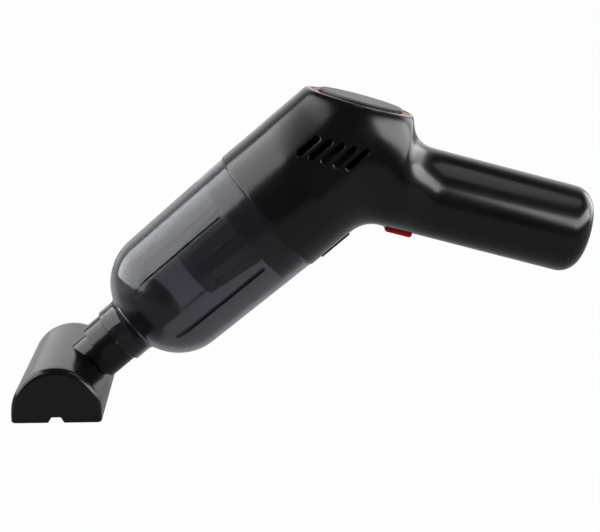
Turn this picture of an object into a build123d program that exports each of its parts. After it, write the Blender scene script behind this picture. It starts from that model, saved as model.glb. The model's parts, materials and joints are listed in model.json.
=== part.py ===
from build123d import *
import os
from math import atan2, cos, degrees, pi, radians, sin, sqrt, tan

# Cordless handheld vacuum, in millimetres and degrees.
# The origin is the centre of the floor head's sole, +Z is up and +X runs towards the handle.
# The whole machine is symmetric about Y = 0, apart from its screws, which go in from +Y.

# Layout of the two axes
BARREL_TILT = 40.0
HANDLE_TILT = 15.0
NECK_AIM_HEIGHT = 8.5

# Clearances
SLIDE_GAP = 0.3
RUNNING_GAP = 0.1
SEAT_GAP = 0.1

# Floor head
HEAD_RADIUS = 21.6
HEAD_LENGTH = 90.7
HEAD_WALL = 2.0
HEAD_EDGE_ROUND = 2.4
SOLE_HEIGHT = 5.1
SOLE_RIM_HEIGHT = 2.0
SOLE_RIM_WALL = 1.2
SOLE_EDGE_ROUND = 1.2
CHANNEL_MOUTH = 8.0
CHANNEL_ROOF = 4.4
CHANNEL_DEPTH = 3.0
SUCTION_LENGTH = 66.0
SUCTION_WIDTH = 12.0
SOLE_SCREW_FROM_SIDE = 8.0
SOLE_SCREW_FROM_END = 8.35
SOLE_SCREW_SUNK = 1.0
SOLE_SCREW_REACH = 6.0
NECK_RADIUS = 11.5
NECK_WALL = 2.1
NECK_FLANGE = 2.0
NECK_FLANGE_THICKNESS = 1.2

# Connector between the head and the dust cup, with stations along the barrel axis
CONNECTOR_START = 20.0
CONNECTOR_SHOWN = 15.0
CONNECTOR_RADIUS = 13.75
CONNECTOR_PLUG = 15.0
WINDOW_LENGTH = 4.4
WINDOW_LEVEL = 2.9
SWIVEL_SEAT = 20.0
SWIVEL_STEP = 0.8
SWIVEL_RING_HEIGHT = 1.2
SWIVEL_RING_SPLIT = 4.0
NECK_BEYOND_RING = 4.6
ORING_THICKNESS = 1.3
ORING_FROM_RIM = 2.2

# Dust cup
CUP_LENGTH = 98.0
CUP_MOUTH_RADIUS = 34.0
CUP_TAPER = 1.27
CUP_WALL = 2.0
CUP_SHOULDER = 36.0
DOME_RADIUS = 27.3
NOSE_RADIUS = 15.0
NOSE_BLEND = 3.0
DUCT_SEAT_WALL = 1.5
DUCT_SEAT_LIP = 2.0
RIB_COUNT = 6
RIB_WIDTH = 1.2
RIB_HEIGHT = 1.0
RIB_LENGTH = 54.0
RIB_FROM_MOUTH = 20.0

# Inlet duct and its flap
DUCT_RADIUS = 11.5
DUCT_WALL = 1.7
DUCT_FLANGE = 1.2
DUCT_LENGTH = 15.4
FLAP_THICKNESS = 1.2
FLAP_PIN_RADIUS = 0.8
FLAP_PIN_OFFSET = 1.75
FLAP_KNUCKLE_RADIUS = 1.3
FLAP_KNUCKLE_WIDTH = 5.4
FLAP_EAR_WIDTH = 2.0
FLAP_EAR_RADIUS = 2.0
FLAP_EAR_LENGTH = 4.0

# Filter cartridge
FILTER_LENGTH = 34.1
FILTER_BASE_RADIUS = 17.5
FILTER_TIP_RADIUS = 13.8
FILTER_SHELL = 1.2
FILTER_CAP_HEIGHT = 1.7
FILTER_CAP_PLUG = 1.1
FILTER_FLANGE_HEIGHT = 3.0
FILTER_BORE = 14.5
FILTER_SEAL_HEIGHT = 2.5
FILTER_SEAL_WIDTH = 5.0
FILTER_WINDOWS = 8
FILTER_WINDOW_WIDTH = 8.0
FILTER_WINDOW_MARGIN = 4.0
PLEAT_COUNT = 28
PLEAT_DEPTH = 3.2
MEDIA_WALL = 1.2
LUG_COUNT = 3
LUG_ANGLE = 16.0
LUG_HEIGHT = 1.1
LUG_THICKNESS = 2.0
FILTER_TWIST = 25.0

# Front bulkhead, which the cup slides over
SPIGOT_LENGTH = 14.0
SPIGOT_CLEARANCE = 0.3
SPIGOT_WALL = 2.0
SPIGOT_FLANGE_HEIGHT = 2.6
BULKHEAD_THICKNESS = 2.0
BULKHEAD_BORE = 14.0
CUP_SEAL_WIDTH = 2.2
CUP_SEAL_DEPTH = 1.4
CUP_SEAL_FROM_TIP = 5.1

# Housing
BARREL_RADIUS = 34.5
BARREL_LENGTH = 35.6
HANDLE_RADIUS = 21.8
HANDLE_LENGTH = 136.0
HANDLE_END_ROUND = 10.0
HOUSING_WALL = 2.2
ELBOW_RADIUS = 16.0
RISER_RADIUS = 25.0
RISER_GAP = 3.925
RISER_DROP = 3.0
FLAT_HEIGHT = 35.2
FLAT_SETBACK = 0.57
FLAT_RADIUS = 26.8
CROWN_HEIGHT = 14.0
CROWN_OVERRUN = 1.5
SHOULDER_WIDTH = 28.0
ELBOW_SECTIONS = 7
RISER_SECTIONS = 4
FRONT_LIP = 1.2
FRONT_LIP_DEPTH = 0.7
FAN_SEAT_DEPTH = 2.3
FAN_SEAT_THICKNESS = 1.5
MOTOR_SADDLE_SPAN = 38.0
MOTOR_SADDLE_THICKNESS = 4.0
VENT_COUNT = 5
VENT_PITCH = 6.05
VENT_LENGTH = 13.7
VENT_WIDTH = 3.0
VENT_CENTRE = 0.6
VENT_HEIGHT = 10.6
BOSS_RADIUS = 3.2
SCREW_RADIUS = 1.4
SCREW_HEAD_RADIUS = 2.3
SCREW_HEAD_HEIGHT = 1.8
SCREW_LENGTH = 12.0
SCREW_SLOT_WIDTH = 0.8
SCREW_SLOT_DEPTH = 0.8
BOSS_FLOOR = 5.0
RISER_BOSS_BEHIND = 2.82
RISER_BOSS_DROP = 2.0
BATTERY_BOSS_FRONT = 10.0
BATTERY_BOSS_REAR = 9.0

# Exhaust outlet on the flat top
OUTLET_RADIUS = 25.0
OUTLET_RECESS = 1.5
OUTLET_RING_HEIGHT = 2.0
OUTLET_RING_WIDTH = 8.0
OUTLET_LEDGE = 2.5
OUTLET_LEDGE_HEIGHT = 1.4
OUTLET_HUB_RADIUS = 6.0
OUTLET_SPOKES = 4
OUTLET_SPOKE_WIDTH = 3.2
DISC_RADIUS = 20.7
DISC_THICKNESS = 1.6
DISC_RISE = 1.45
DISC_EDGE_ROUND = 0.4

# Fan and motor, along the barrel axis
FAN_PLATE = 1.5
FAN_INLET_RADIUS = 13.0
FAN_CHAMBER_RADIUS = 28.0
FAN_CHAMBER_WALL = 1.6
FAN_CHAMBER_LENGTH = 14.4
MOTOR_PLATE = 2.0
IMPELLER_RADIUS = 25.0
IMPELLER_HEIGHT = 9.4
IMPELLER_PLATE = 1.4
IMPELLER_HUB_RADIUS = 5.0
IMPELLER_BLADES = 9
IMPELLER_BLADE_WALL = 1.2
IMPELLER_BLADE_SWEEP = 12.0
IMPELLER_BLADE_BOW = 4.0
IMPELLER_BLADE_INSET = 1.0
IMPELLER_FROM_PLATE = 3.3
SHAFT_RADIUS = 1.15
SHAFT_TIP = 1.3
NUT_HEIGHT = 1.1
NUT_RADIUS = 2.8
MOTOR_RADIUS = 14.0
MOTOR_LENGTH = 34.8
MOTOR_WALL = 1.0
MOTOR_CAP = 3.0
BEARING_RADIUS = 3.0
BEARING_LENGTH = 2.6
ARMATURE_RADIUS = 9.0
ARMATURE_LENGTH = 20.0
ARMATURE_SLOTS = 3
ARMATURE_SLOT_WIDTH = 2.0
MAGNET_GAP = 0.5
MAGNET_SPLIT = 5.0
DAMPER_WALL = 2.4
DAMPER_LENGTH = 7.0
DAMPER_FROM_CAP = 3.0
MOTOR_SCREW_CIRCLE = 8.0
DIFFUSER_SLOTS = 6
DIFFUSER_SLOT_ANGLE = 40.0
DIFFUSER_SLOT_MARGIN = 2.0

# Power button and its switch, along the handle axis
BUTTON_FROM_ELBOW = 9.82
BUTTON_LENGTH = 13.7
BUTTON_WIDTH = 9.0
BUTTON_PROUD = 2.2
BUTTON_DEPTH = 7.0
BUTTON_ROUND = 1.6
BUTTON_FLANGE = 1.2
BUTTON_TRAVEL = 2.0
SWITCH_GAP = 5.0
SWITCH_LENGTH = 12.0
SWITCH_WIDTH = 9.0
SWITCH_HEIGHT = 7.2
SWITCH_PLUNGER = 2.6
SWITCH_PLUNGER_RADIUS = 1.4
BUTTON_SPRING_RADIUS = 3.0
BUTTON_SPRING_WIRE = 0.5
BUTTON_SPRING_TURNS = 4

# Release button under the barrel
LATCH_FROM_SEAM = 6.5
LATCH_LENGTH = 17.5
LATCH_WIDTH = 14.0
LATCH_PROUD = 0.7
LATCH_DEPTH = 4.3
LATCH_TRAVEL = 1.6
LATCH_FLANGE = 1.1
LATCH_FLANGE_WIDTH = 1.5
TONGUE_WIDTH = 6.0
TONGUE_THICKNESS = 1.2
TONGUE_REACH = 5.4
TONGUE_ROOT = 1.0
LATCH_SPRING_RADIUS = 2.2
LATCH_SPRING_WIRE = 0.35
LATCH_SPRING_TURNS = 2.5

# Board, battery and charging socket in the handle
BOARD_THICKNESS = 1.6
BOARD_LENGTH = 27.5
CELL_RADIUS = 9.2
CELL_SPACING = 18.8
CELL_FROM_RISER = 0.6
CELL_END_ROOM = 11.0
CRADLE_END = 3.5
CRADLE_POCKET = 2.0
CRADLE_STRIP_WIDTH = 2.4
CRADLE_STRIP_HEIGHT = 2.0
CRADLE_STRIP_OFFSET = 6.5
TAB_THICKNESS = 0.3
TAB_WIDTH = 6.0
CHARGE_BOARD_RADIUS = 17.6
CHARGE_BOARD_FROM_END = 5.9
SOCKET_WIDTH = 9.0
SOCKET_HEIGHT = 3.2
SOCKET_SHELL = 0.35
SOCKET_FLAT = 0.4
SOCKET_TONGUE = 0.7
SOCKET_TONGUE_SUNK = 1.1
LEAD_RADIUS = 0.8
LEAD_BEND = 2.4
MOTOR_LEAD_OFFSET = 5.0
BATTERY_LEAD_OFFSET = 6.0
BATTERY_LEAD_LEVEL = 4.0
BATTERY_LEAD_RUN = 5.0
MOTOR_LEAD_RUN = 6.0
MOTOR_LEAD_LEVEL = 13.8
MOTOR_LEAD_FROM_EDGE = 4.0

# Stations along the barrel axis, worked out from the lengths above
NOSE_RIM = CONNECTOR_START + CONNECTOR_SHOWN
PLUG_END = NOSE_RIM + CONNECTOR_PLUG
SEAM = NOSE_RIM + CUP_LENGTH
ELBOW = SEAM + BARREL_LENGTH
SWIVEL_SHOULDER = CONNECTOR_START + SWIVEL_SEAT
SHOULDER_STATION = NOSE_RIM + CUP_SHOULDER
SPIGOT_TIP = SEAM - SPIGOT_LENGTH
SPIGOT_DRAFT = SPIGOT_LENGTH * tan(radians(CUP_TAPER))
SPIGOT_RADIUS = CUP_MOUTH_RADIUS - CUP_WALL - SPIGOT_DRAFT - SPIGOT_CLEARANCE
SPIGOT_BORE = SPIGOT_RADIUS - SPIGOT_WALL
BARREL_BORE = BARREL_RADIUS - HOUSING_WALL
HANDLE_BORE = HANDLE_RADIUS - HOUSING_WALL
FLANGE_RADIUS = BARREL_BORE - SEAT_GAP
FLANGE_FRONT = SEAM + FRONT_LIP + SEAT_GAP
FAN_FRONT = FLANGE_FRONT + SPIGOT_FLANGE_HEIGHT + SEAT_GAP
CHAMBER_END = FAN_FRONT + FAN_PLATE + FAN_CHAMBER_LENGTH
MOTOR_PLATE_FRONT = CHAMBER_END + SEAT_GAP
MOTOR_FRONT = MOTOR_PLATE_FRONT + MOTOR_PLATE + SEAT_GAP
MOTOR_END = MOTOR_FRONT + MOTOR_LENGTH
MOTOR_TAIL = MOTOR_END + SEAT_GAP + MOTOR_CAP
IMPELLER_BACK = MOTOR_PLATE_FRONT - IMPELLER_FROM_PLATE
IMPELLER_FRONT = IMPELLER_BACK - IMPELLER_HEIGHT
ELBOW_ANGLE = BARREL_TILT + HANDLE_TILT
REACH = 4 * HANDLE_LENGTH

# Frames: local z runs along the axis, local x points to the underside and local y is +Y
barrel_axis = Vector(cos(radians(BARREL_TILT)), 0, sin(radians(BARREL_TILT)))
barrel_under = Vector(sin(radians(BARREL_TILT)), 0, -cos(radians(BARREL_TILT)))
handle_axis = Vector(cos(radians(HANDLE_TILT)), 0, -sin(radians(HANDLE_TILT)))
handle_under = Vector(-sin(radians(HANDLE_TILT)), 0, -cos(radians(HANDLE_TILT)))
aim_point = Vector(0, 0, NECK_AIM_HEIGHT)
elbow_point = aim_point + barrel_axis * ELBOW
barrel = Plane(origin=aim_point, x_dir=barrel_under, z_dir=barrel_axis).location
handle = Plane(origin=elbow_point, x_dir=handle_under, z_dir=handle_axis).location

parts = {}


def rod(radius, start, end):
    """A cylinder along local z between two stations."""
    return Pos(0, 0, (start + end) / 2) * Cylinder(radius, end - start)


def tube(outer, inner, start, end):
    """A ring or tube along local z between two stations."""
    return rod(outer, start, end) - rod(inner, start - 1, end + 1)


def block(x_range, y_range, z_range):
    """A box given by its ranges."""
    sizes = [high - low for low, high in (x_range, y_range, z_range)]
    centre = [(high + low) / 2 for low, high in (x_range, y_range, z_range)]
    return Pos(*centre) * Box(*sizes)


def turned(*points):
    """A solid of revolution about local z from (radius, station) corners."""
    outline = Polyline(*[(radius, 0, station) for radius, station in points], close=True)
    return revolve(make_face(outline), axis=Axis.Z)


def across(radius, y_start, y_end):
    """A cylinder along local y between two places."""
    return Pos(0, (y_start + y_end) / 2, 0) * Rot(90, 0, 0) * Cylinder(radius, y_end - y_start)


def sector(outer, inner, start, end, angle, middle):
    """A piece of a tube that spans an angle about a middle direction, from local x."""
    half = radians(angle / 2)
    far_x = 2 * outer * cos(half)
    far_y = 2 * outer * sin(half)
    wedge = Polyline((0, 0), (far_x, -far_y), (far_x, far_y), close=True)
    slab = Pos(0, 0, start) * extrude(make_face(wedge), end - start)
    return Rot(0, 0, middle) * (tube(outer, inner, start, end) & slab)


def coil(radius, wire, height, turns):
    """A round-wire spring that stands on z = 0."""
    rise = height - 2 * wire
    path = Pos(0, 0, wire) * Helix(pitch=rise / turns, height=rise, radius=radius)
    start = Plane(origin=path @ 0, z_dir=path % 0)
    return sweep(start * Circle(wire / 2), path=path, is_frenet=True)


def lead(points):
    """A round wire along straight runs with rounded corners."""
    path = FilletPolyline(*points, radius=LEAD_BEND)
    start = Plane(origin=path @ 0, z_dir=path % 0)
    return sweep(start * Circle(LEAD_RADIUS), path=path)


def handle_place(along, above, side=0.0):
    """A point given along the handle from the elbow, above its axis and to the side."""
    return elbow_point + handle_axis * along - handle_under * above + Vector(0, side, 0)


def barrel_place(station, under, side=0.0):
    """A point given by its station, its distance under the barrel axis and to the side."""
    return aim_point + barrel_axis * station + barrel_under * under + Vector(0, side, 0)


def cup_outer_radius(station):
    """Radius of the dust cup's straight, slightly tapered wall."""
    return CUP_MOUTH_RADIUS - (SEAM - station) * tan(radians(CUP_TAPER))


# Floor head: a half-round cover, the neck that stands in it, a sole plate and its screws

def half_round(radius, length):
    """A half cylinder along Y that stands on the sole."""
    full = Pos(0, 0, SOLE_HEIGHT) * Rot(90, 0, 0) * Cylinder(radius, length)
    return full & block((-radius, radius), (-length, length), (SOLE_HEIGHT, SOLE_HEIGHT + radius))


sole_screw_x = HEAD_RADIUS - SOLE_SCREW_FROM_SIDE
sole_screw_y = HEAD_LENGTH / 2 - SOLE_SCREW_FROM_END
sole_screw_places = [(x, y) for x in (-sole_screw_x, sole_screw_x) for y in (-sole_screw_y, sole_screw_y)]
neck_top = SWIVEL_SHOULDER + SEAT_GAP + SWIVEL_RING_HEIGHT + NECK_BEYOND_RING
ring_start = SWIVEL_SHOULDER + 2 * SEAT_GAP
groove_radius = NECK_RADIUS - SWIVEL_STEP


def make_head_cover():
    shell = half_round(HEAD_RADIUS, HEAD_LENGTH)
    rims = shell.edges().filter_by(GeomType.CIRCLE)
    shell = fillet(rims, HEAD_EDGE_ROUND)
    space = half_round(HEAD_RADIUS - HEAD_WALL, HEAD_LENGTH - 2 * HEAD_WALL)
    post = rod(BOSS_RADIUS, SOLE_HEIGHT, SOLE_HEIGHT + HEAD_RADIUS)
    roof = half_round(HEAD_RADIUS - HEAD_WALL / 2, HEAD_LENGTH - HEAD_WALL)
    cover = shell - space
    for x, y in sole_screw_places:
        cover += Pos(x, y, 0) * post & roof
        cover -= Pos(x, y, 0) * rod(SCREW_RADIUS + SEAT_GAP / 2, 0, SOLE_HEIGHT + SOLE_SCREW_REACH + 1)
    return cover - barrel * rod(NECK_RADIUS + SEAT_GAP / 2, 0, neck_top)


def make_head_neck():
    above_sole = block((-REACH, REACH), (-REACH, REACH), (SOLE_HEIGHT, REACH))
    seat_radius = HEAD_RADIUS - HEAD_WALL - SEAT_GAP / 2
    seat = half_round(seat_radius, HEAD_LENGTH)
    neck = (barrel * rod(NECK_RADIUS, 0, neck_top) & above_sole) - seat
    flange = barrel * rod(NECK_RADIUS + NECK_FLANGE, 0, neck_top) & seat
    neck += flange - half_round(seat_radius - NECK_FLANGE_THICKNESS, HEAD_LENGTH)
    neck -= barrel * rod(NECK_RADIUS - NECK_WALL, 0, neck_top + 1)
    return neck - barrel * tube(NECK_RADIUS + 1, groove_radius, ring_start - SEAT_GAP,
                                ring_start + SWIVEL_RING_HEIGHT + SEAT_GAP)


def make_head_sole():
    plate = block((-HEAD_RADIUS, HEAD_RADIUS), (-HEAD_LENGTH / 2, HEAD_LENGTH / 2), (0, SOLE_HEIGHT))
    uprights = plate.edges().filter_by(Axis.Z)
    plate = fillet(uprights, HEAD_EDGE_ROUND)
    plate = fillet(plate.faces().sort_by(Axis.Z)[0].edges(), SOLE_EDGE_ROUND)
    rim_x = HEAD_RADIUS - HEAD_WALL - 2 * SLIDE_GAP
    rim_y = HEAD_LENGTH / 2 - HEAD_WALL - SLIDE_GAP
    rim_top = SOLE_HEIGHT + SOLE_RIM_HEIGHT
    rim = block((-rim_x, rim_x), (-rim_y, rim_y), (SOLE_HEIGHT, rim_top))
    room_x = rim_x - SOLE_RIM_WALL
    room_y = rim_y - SOLE_RIM_WALL
    rim -= block((-room_x, room_x), (-room_y, room_y), (SOLE_HEIGHT, rim_top))
    rim -= barrel * rod(NECK_RADIUS + NECK_FLANGE + SLIDE_GAP, 0, neck_top)
    outline = Polyline((-CHANNEL_MOUTH / 2, 0, 0), (CHANNEL_MOUTH / 2, 0, 0),
                       (CHANNEL_ROOF / 2, 0, CHANNEL_DEPTH), (-CHANNEL_ROOF / 2, 0, CHANNEL_DEPTH),
                       close=True)
    channel = extrude(make_face(outline), HEAD_LENGTH, dir=(0, 1, 0), both=True)
    mouth = block((-SUCTION_WIDTH / 2, SUCTION_WIDTH / 2), (-SUCTION_LENGTH / 2, SUCTION_LENGTH / 2),
                  (-1, rim_top))
    sole = plate + rim - channel - mouth
    for x, y in sole_screw_places:
        sole -= Pos(x, y, 0) * rod(SCREW_HEAD_RADIUS + SEAT_GAP, -1, SOLE_SCREW_SUNK + SCREW_HEAD_HEIGHT)
        sole -= Pos(x, y, 0) * rod(SCREW_RADIUS + SEAT_GAP, -1, SOLE_HEIGHT + 1)
    return sole


def make_sole_screws():
    screws = []
    for x, y in sole_screw_places:
        seat = SOLE_SCREW_SUNK + SCREW_HEAD_HEIGHT
        head = rod(SCREW_HEAD_RADIUS, SOLE_SCREW_SUNK, seat)
        head -= block((-SCREW_SLOT_WIDTH / 2, SCREW_SLOT_WIDTH / 2), (-SCREW_HEAD_RADIUS, SCREW_HEAD_RADIUS),
                      (0, SOLE_SCREW_SUNK + SCREW_SLOT_DEPTH))
        shank = rod(SCREW_RADIUS, seat, SOLE_HEIGHT + SOLE_SCREW_REACH)
        screws.append(Pos(x, y, 0) * (head + shank))
    return screws


def make_swivel_ring():
    outer = NECK_RADIUS + SWIVEL_STEP - SEAT_GAP
    ring = tube(outer, groove_radius + SEAT_GAP, ring_start, ring_start + SWIVEL_RING_HEIGHT)
    split = block((0, outer + 1), (-SWIVEL_RING_SPLIT / 2, SWIVEL_RING_SPLIT / 2),
                  (ring_start - 1, neck_top))
    return barrel * (ring - split)


parts["head_cover"] = make_head_cover()
parts["head_neck"] = make_head_neck()
parts["head_sole"] = make_head_sole()
parts["sole_screws"] = make_sole_screws()
parts["swivel_ring"] = make_swivel_ring()


# Connector sleeve with its window, and the sealing ring in its groove

neck_bore = NECK_RADIUS + RUNNING_GAP
oring_middle = NOSE_RIM + ORING_FROM_RIM + ORING_THICKNESS / 2
nose_bore = CONNECTOR_RADIUS + RUNNING_GAP
oring_reach = nose_bore - RUNNING_GAP / 2


def make_connector():
    sleeve = tube(CONNECTOR_RADIUS, neck_bore, CONNECTOR_START, PLUG_END)
    sleeve -= rod(neck_bore + SWIVEL_STEP, SWIVEL_SHOULDER, PLUG_END + 1)
    sleeve -= block((-2 * CONNECTOR_RADIUS, -WINDOW_LEVEL), (-2 * CONNECTOR_RADIUS, 2 * CONNECTOR_RADIUS),
                    (CONNECTOR_START - 1, CONNECTOR_START + WINDOW_LENGTH))
    half = ORING_THICKNESS / 2 + SEAT_GAP
    sleeve -= tube(CONNECTOR_RADIUS + 1, oring_reach - ORING_THICKNESS - SEAT_GAP, oring_middle - half,
                   oring_middle + half)
    return barrel * sleeve


parts["connector"] = make_connector()
parts["connector_seal"] = barrel * Pos(0, 0, oring_middle) * Torus(oring_reach - ORING_THICKNESS / 2,
                                                                   ORING_THICKNESS / 2)


# Dust cup: tapered wall, domed front, nose tube, seat for the duct and inner ribs

shoulder_radius = cup_outer_radius(SHOULDER_STATION)
dome_axis_radius = shoulder_radius - DOME_RADIUS
nose_end = SHOULDER_STATION - sqrt(DOME_RADIUS**2 - (NOSE_RADIUS - dome_axis_radius)**2)
duct_flange_front = PLUG_END + SLIDE_GAP
duct_lip_front = duct_flange_front + DUCT_FLANGE
duct_end = duct_flange_front + DUCT_LENGTH
tongue_outer = CUP_MOUTH_RADIUS - (HOUSING_WALL - TONGUE_THICKNESS) / 2 - SLIDE_GAP
tongue_inner = tongue_outer - TONGUE_THICKNESS
keyway_front = SEAM - TONGUE_REACH - 2 * SLIDE_GAP
tongue_half_gap = TONGUE_WIDTH / 2 + SLIDE_GAP


def dome_arc(radius, angle):
    """A point on the cup's dome, the angle measured from the shoulder towards the nose."""
    turn = radians(angle)
    return (dome_axis_radius + radius * cos(turn), 0, SHOULDER_STATION - radius * sin(turn))


def make_cup_space():
    """The room inside the cup's wall."""
    radius = DOME_RADIUS - CUP_WALL
    front = SHOULDER_STATION - radius
    arc = ThreePointArc(dome_arc(radius, 90), dome_arc(radius, 45), dome_arc(radius, 0))
    wall = Polyline(dome_arc(radius, 0), (CUP_MOUTH_RADIUS - CUP_WALL, 0, SEAM), (0, 0, SEAM),
                    (0, 0, front), dome_arc(radius, 90))
    return revolve(make_face([arc, wall]), axis=Axis.Z)


def make_dust_cup():
    nose_angle = degrees(atan2(SHOULDER_STATION - nose_end, NOSE_RADIUS - dome_axis_radius))
    arc = ThreePointArc(dome_arc(DOME_RADIUS, nose_angle), dome_arc(DOME_RADIUS, nose_angle / 2),
                        dome_arc(DOME_RADIUS, 0))
    wall = Polyline(dome_arc(DOME_RADIUS, 0), (CUP_MOUTH_RADIUS, 0, SEAM), (0, 0, SEAM), (0, 0, NOSE_RIM),
                    (NOSE_RADIUS, 0, NOSE_RIM), (NOSE_RADIUS, 0, nose_end))
    outside = revolve(make_face([arc, wall]), axis=Axis.Z)
    rings = outside.edges().filter_by(GeomType.CIRCLE)
    throat = rings.filter_by_position(Axis.Z, nose_end - RUNNING_GAP, nose_end + RUNNING_GAP)
    outside = fillet(throat, NOSE_BLEND)
    cup = outside - make_cup_space()
    seat_radius = nose_bore + DUCT_SEAT_WALL
    cup += tube(seat_radius, DUCT_RADIUS, nose_end + 1, duct_lip_front + DUCT_SEAT_LIP) & outside
    rib_end = SEAM - RIB_FROM_MOUTH
    rib_start = rib_end - RIB_LENGTH
    for index in range(RIB_COUNT):
        inner_end = cup_outer_radius(rib_end) - CUP_WALL
        rib = block((inner_end - RIB_HEIGHT, inner_end + CUP_WALL / 2), (-RIB_WIDTH / 2, RIB_WIDTH / 2),
                    (rib_start - rib_end, 0))
        rib = Pos(inner_end, 0, rib_end) * Rot(0, CUP_TAPER, 0) * Pos(-inner_end, 0, 0) * rib
        cup += Rot(0, 0, index * 360 / RIB_COUNT) * rib & outside
    cup -= rod(nose_bore, NOSE_RIM - 1, duct_lip_front)
    cup -= rod(DUCT_RADIUS + SEAT_GAP, NOSE_RIM, duct_lip_front + DUCT_SEAT_LIP + 1)
    cup -= block((SPIGOT_RADIUS - CUP_WALL, CUP_MOUTH_RADIUS + 1), (-tongue_half_gap, tongue_half_gap),
                 (keyway_front, SEAM + 1))
    return barrel * cup


parts["dust_cup"] = make_dust_cup()


# Inlet duct with ears for the flap's pin

flap_pin_x = -(DUCT_RADIUS + FLAP_PIN_OFFSET)
flap_front = duct_end + 2 * SEAT_GAP
flap_pin_z = flap_front + FLAP_THICKNESS / 2
ear_inner = FLAP_KNUCKLE_WIDTH / 2 + SLIDE_GAP
ear_outer = ear_inner + FLAP_EAR_WIDTH


def make_inlet_duct():
    duct = rod(DUCT_RADIUS, duct_flange_front, duct_end)
    duct += rod(CONNECTOR_RADIUS, duct_flange_front, duct_lip_front)
    for side in (-1, 1):
        y_range = sorted((side * ear_inner, side * ear_outer))
        ear = block((flap_pin_x - FLAP_EAR_RADIUS, -DUCT_RADIUS + DUCT_WALL), y_range,
                    (duct_end - FLAP_EAR_LENGTH, duct_end))
        ear += Pos(flap_pin_x, 0, flap_pin_z) * across(FLAP_EAR_RADIUS, *y_range)
        duct += ear
    duct -= rod(DUCT_RADIUS - DUCT_WALL, duct_flange_front - 1, duct_end + 1)
    pin_hole = across(FLAP_PIN_RADIUS + SEAT_GAP / 2, -2 * ear_outer, 2 * ear_outer)
    duct -= Pos(flap_pin_x, 0, flap_pin_z) * pin_hole
    return barrel * duct


def make_inlet_flap():
    flap = rod(DUCT_RADIUS - 2 * SEAT_GAP, flap_front, flap_front + FLAP_THICKNESS)
    half = FLAP_KNUCKLE_WIDTH / 2
    flap += block((flap_pin_x, 0), (-half, half), (flap_front, flap_front + FLAP_THICKNESS))
    flap += Pos(flap_pin_x, 0, flap_pin_z) * across(FLAP_KNUCKLE_RADIUS, -half, half)
    flap -= Pos(flap_pin_x, 0, flap_pin_z) * across(FLAP_PIN_RADIUS + RUNNING_GAP, -half - 1, half + 1)
    return barrel * flap


parts["inlet_duct"] = make_inlet_duct()
flap_pin_place = barrel * Pos(flap_pin_x, 0, flap_pin_z)
parts["flap_pin"] = flap_pin_place * across(FLAP_PIN_RADIUS, -ear_outer, ear_outer)
parts["inlet_flap"] = make_inlet_flap()


# Front bulkhead with the spigot, the bayonet slots and the groove of the cup's seal

plate_front = SPIGOT_TIP + SEAT_GAP * 4 + FILTER_FLANGE_HEIGHT + FILTER_SEAL_HEIGHT
flange_front = SPIGOT_TIP + SLIDE_GAP
flange_back = flange_front + FILTER_FLANGE_HEIGHT
filter_radius = SPIGOT_BORE - SLIDE_GAP
lug_front = flange_front + (FILTER_FLANGE_HEIGHT - LUG_THICKNESS) / 2
lug_radius = filter_radius + LUG_HEIGHT
lug_angles = [60 + index * 360 / LUG_COUNT for index in range(LUG_COUNT)]
lug_slack = degrees(2 * SLIDE_GAP / lug_radius)
channel_inner = tongue_inner - LATCH_TRAVEL - SLIDE_GAP
seal_front = SPIGOT_TIP + CUP_SEAL_FROM_TIP
seal_outer = cup_outer_radius(seal_front) - CUP_WALL - RUNNING_GAP
latch_channel = block((channel_inner, BARREL_RADIUS - (HOUSING_WALL - TONGUE_THICKNESS) / 2),
                      (-tongue_half_gap, tongue_half_gap), (keyway_front, SEAM + LATCH_FROM_SEAM + 1))


def make_front_bulkhead():
    bulkhead = tube(SPIGOT_RADIUS, SPIGOT_BORE, SPIGOT_TIP, FLANGE_FRONT)
    bulkhead += tube(FLANGE_RADIUS, SPIGOT_BORE, FLANGE_FRONT, FLANGE_FRONT + SPIGOT_FLANGE_HEIGHT)
    bulkhead += tube(SPIGOT_RADIUS - SPIGOT_WALL / 2, BULKHEAD_BORE, plate_front,
                     plate_front + BULKHEAD_THICKNESS)
    bulkhead -= tube(SPIGOT_RADIUS + 1, seal_outer - CUP_SEAL_DEPTH - SEAT_GAP, seal_front - SEAT_GAP,
                     seal_front + CUP_SEAL_WIDTH + SEAT_GAP)
    for angle in lug_angles:
        turn = LUG_ANGLE + FILTER_TWIST + 2 * lug_slack
        bulkhead -= sector(lug_radius + SLIDE_GAP, SPIGOT_BORE - 1, lug_front - SLIDE_GAP,
                           lug_front + LUG_THICKNESS + SLIDE_GAP, turn, angle + FILTER_TWIST / 2)
        bulkhead -= sector(lug_radius + SLIDE_GAP, SPIGOT_BORE - 1, SPIGOT_TIP - 1, lug_front,
                           LUG_ANGLE + 2 * lug_slack, angle + FILTER_TWIST)
    return barrel * (bulkhead - latch_channel)


parts["front_bulkhead"] = make_front_bulkhead()
parts["cup_seal"] = barrel * tube(seal_outer, seal_outer - CUP_SEAL_DEPTH, seal_front,
                                  seal_front + CUP_SEAL_WIDTH)


# Filter cartridge: windowed cone with bayonet lugs, pleated media, cap and gasket

filter_tip = flange_front - FILTER_LENGTH
shell_front = filter_tip + FILTER_CAP_HEIGHT
media_front = shell_front + FILTER_CAP_PLUG + SEAT_GAP
media_back = flange_front - SEAT_GAP


def filter_radius_at(station):
    """Outer radius of the filter's cone at a station."""
    share = (station - shell_front) / (flange_front - shell_front)
    return FILTER_TIP_RADIUS + share * (FILTER_BASE_RADIUS - FILTER_TIP_RADIUS)


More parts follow.
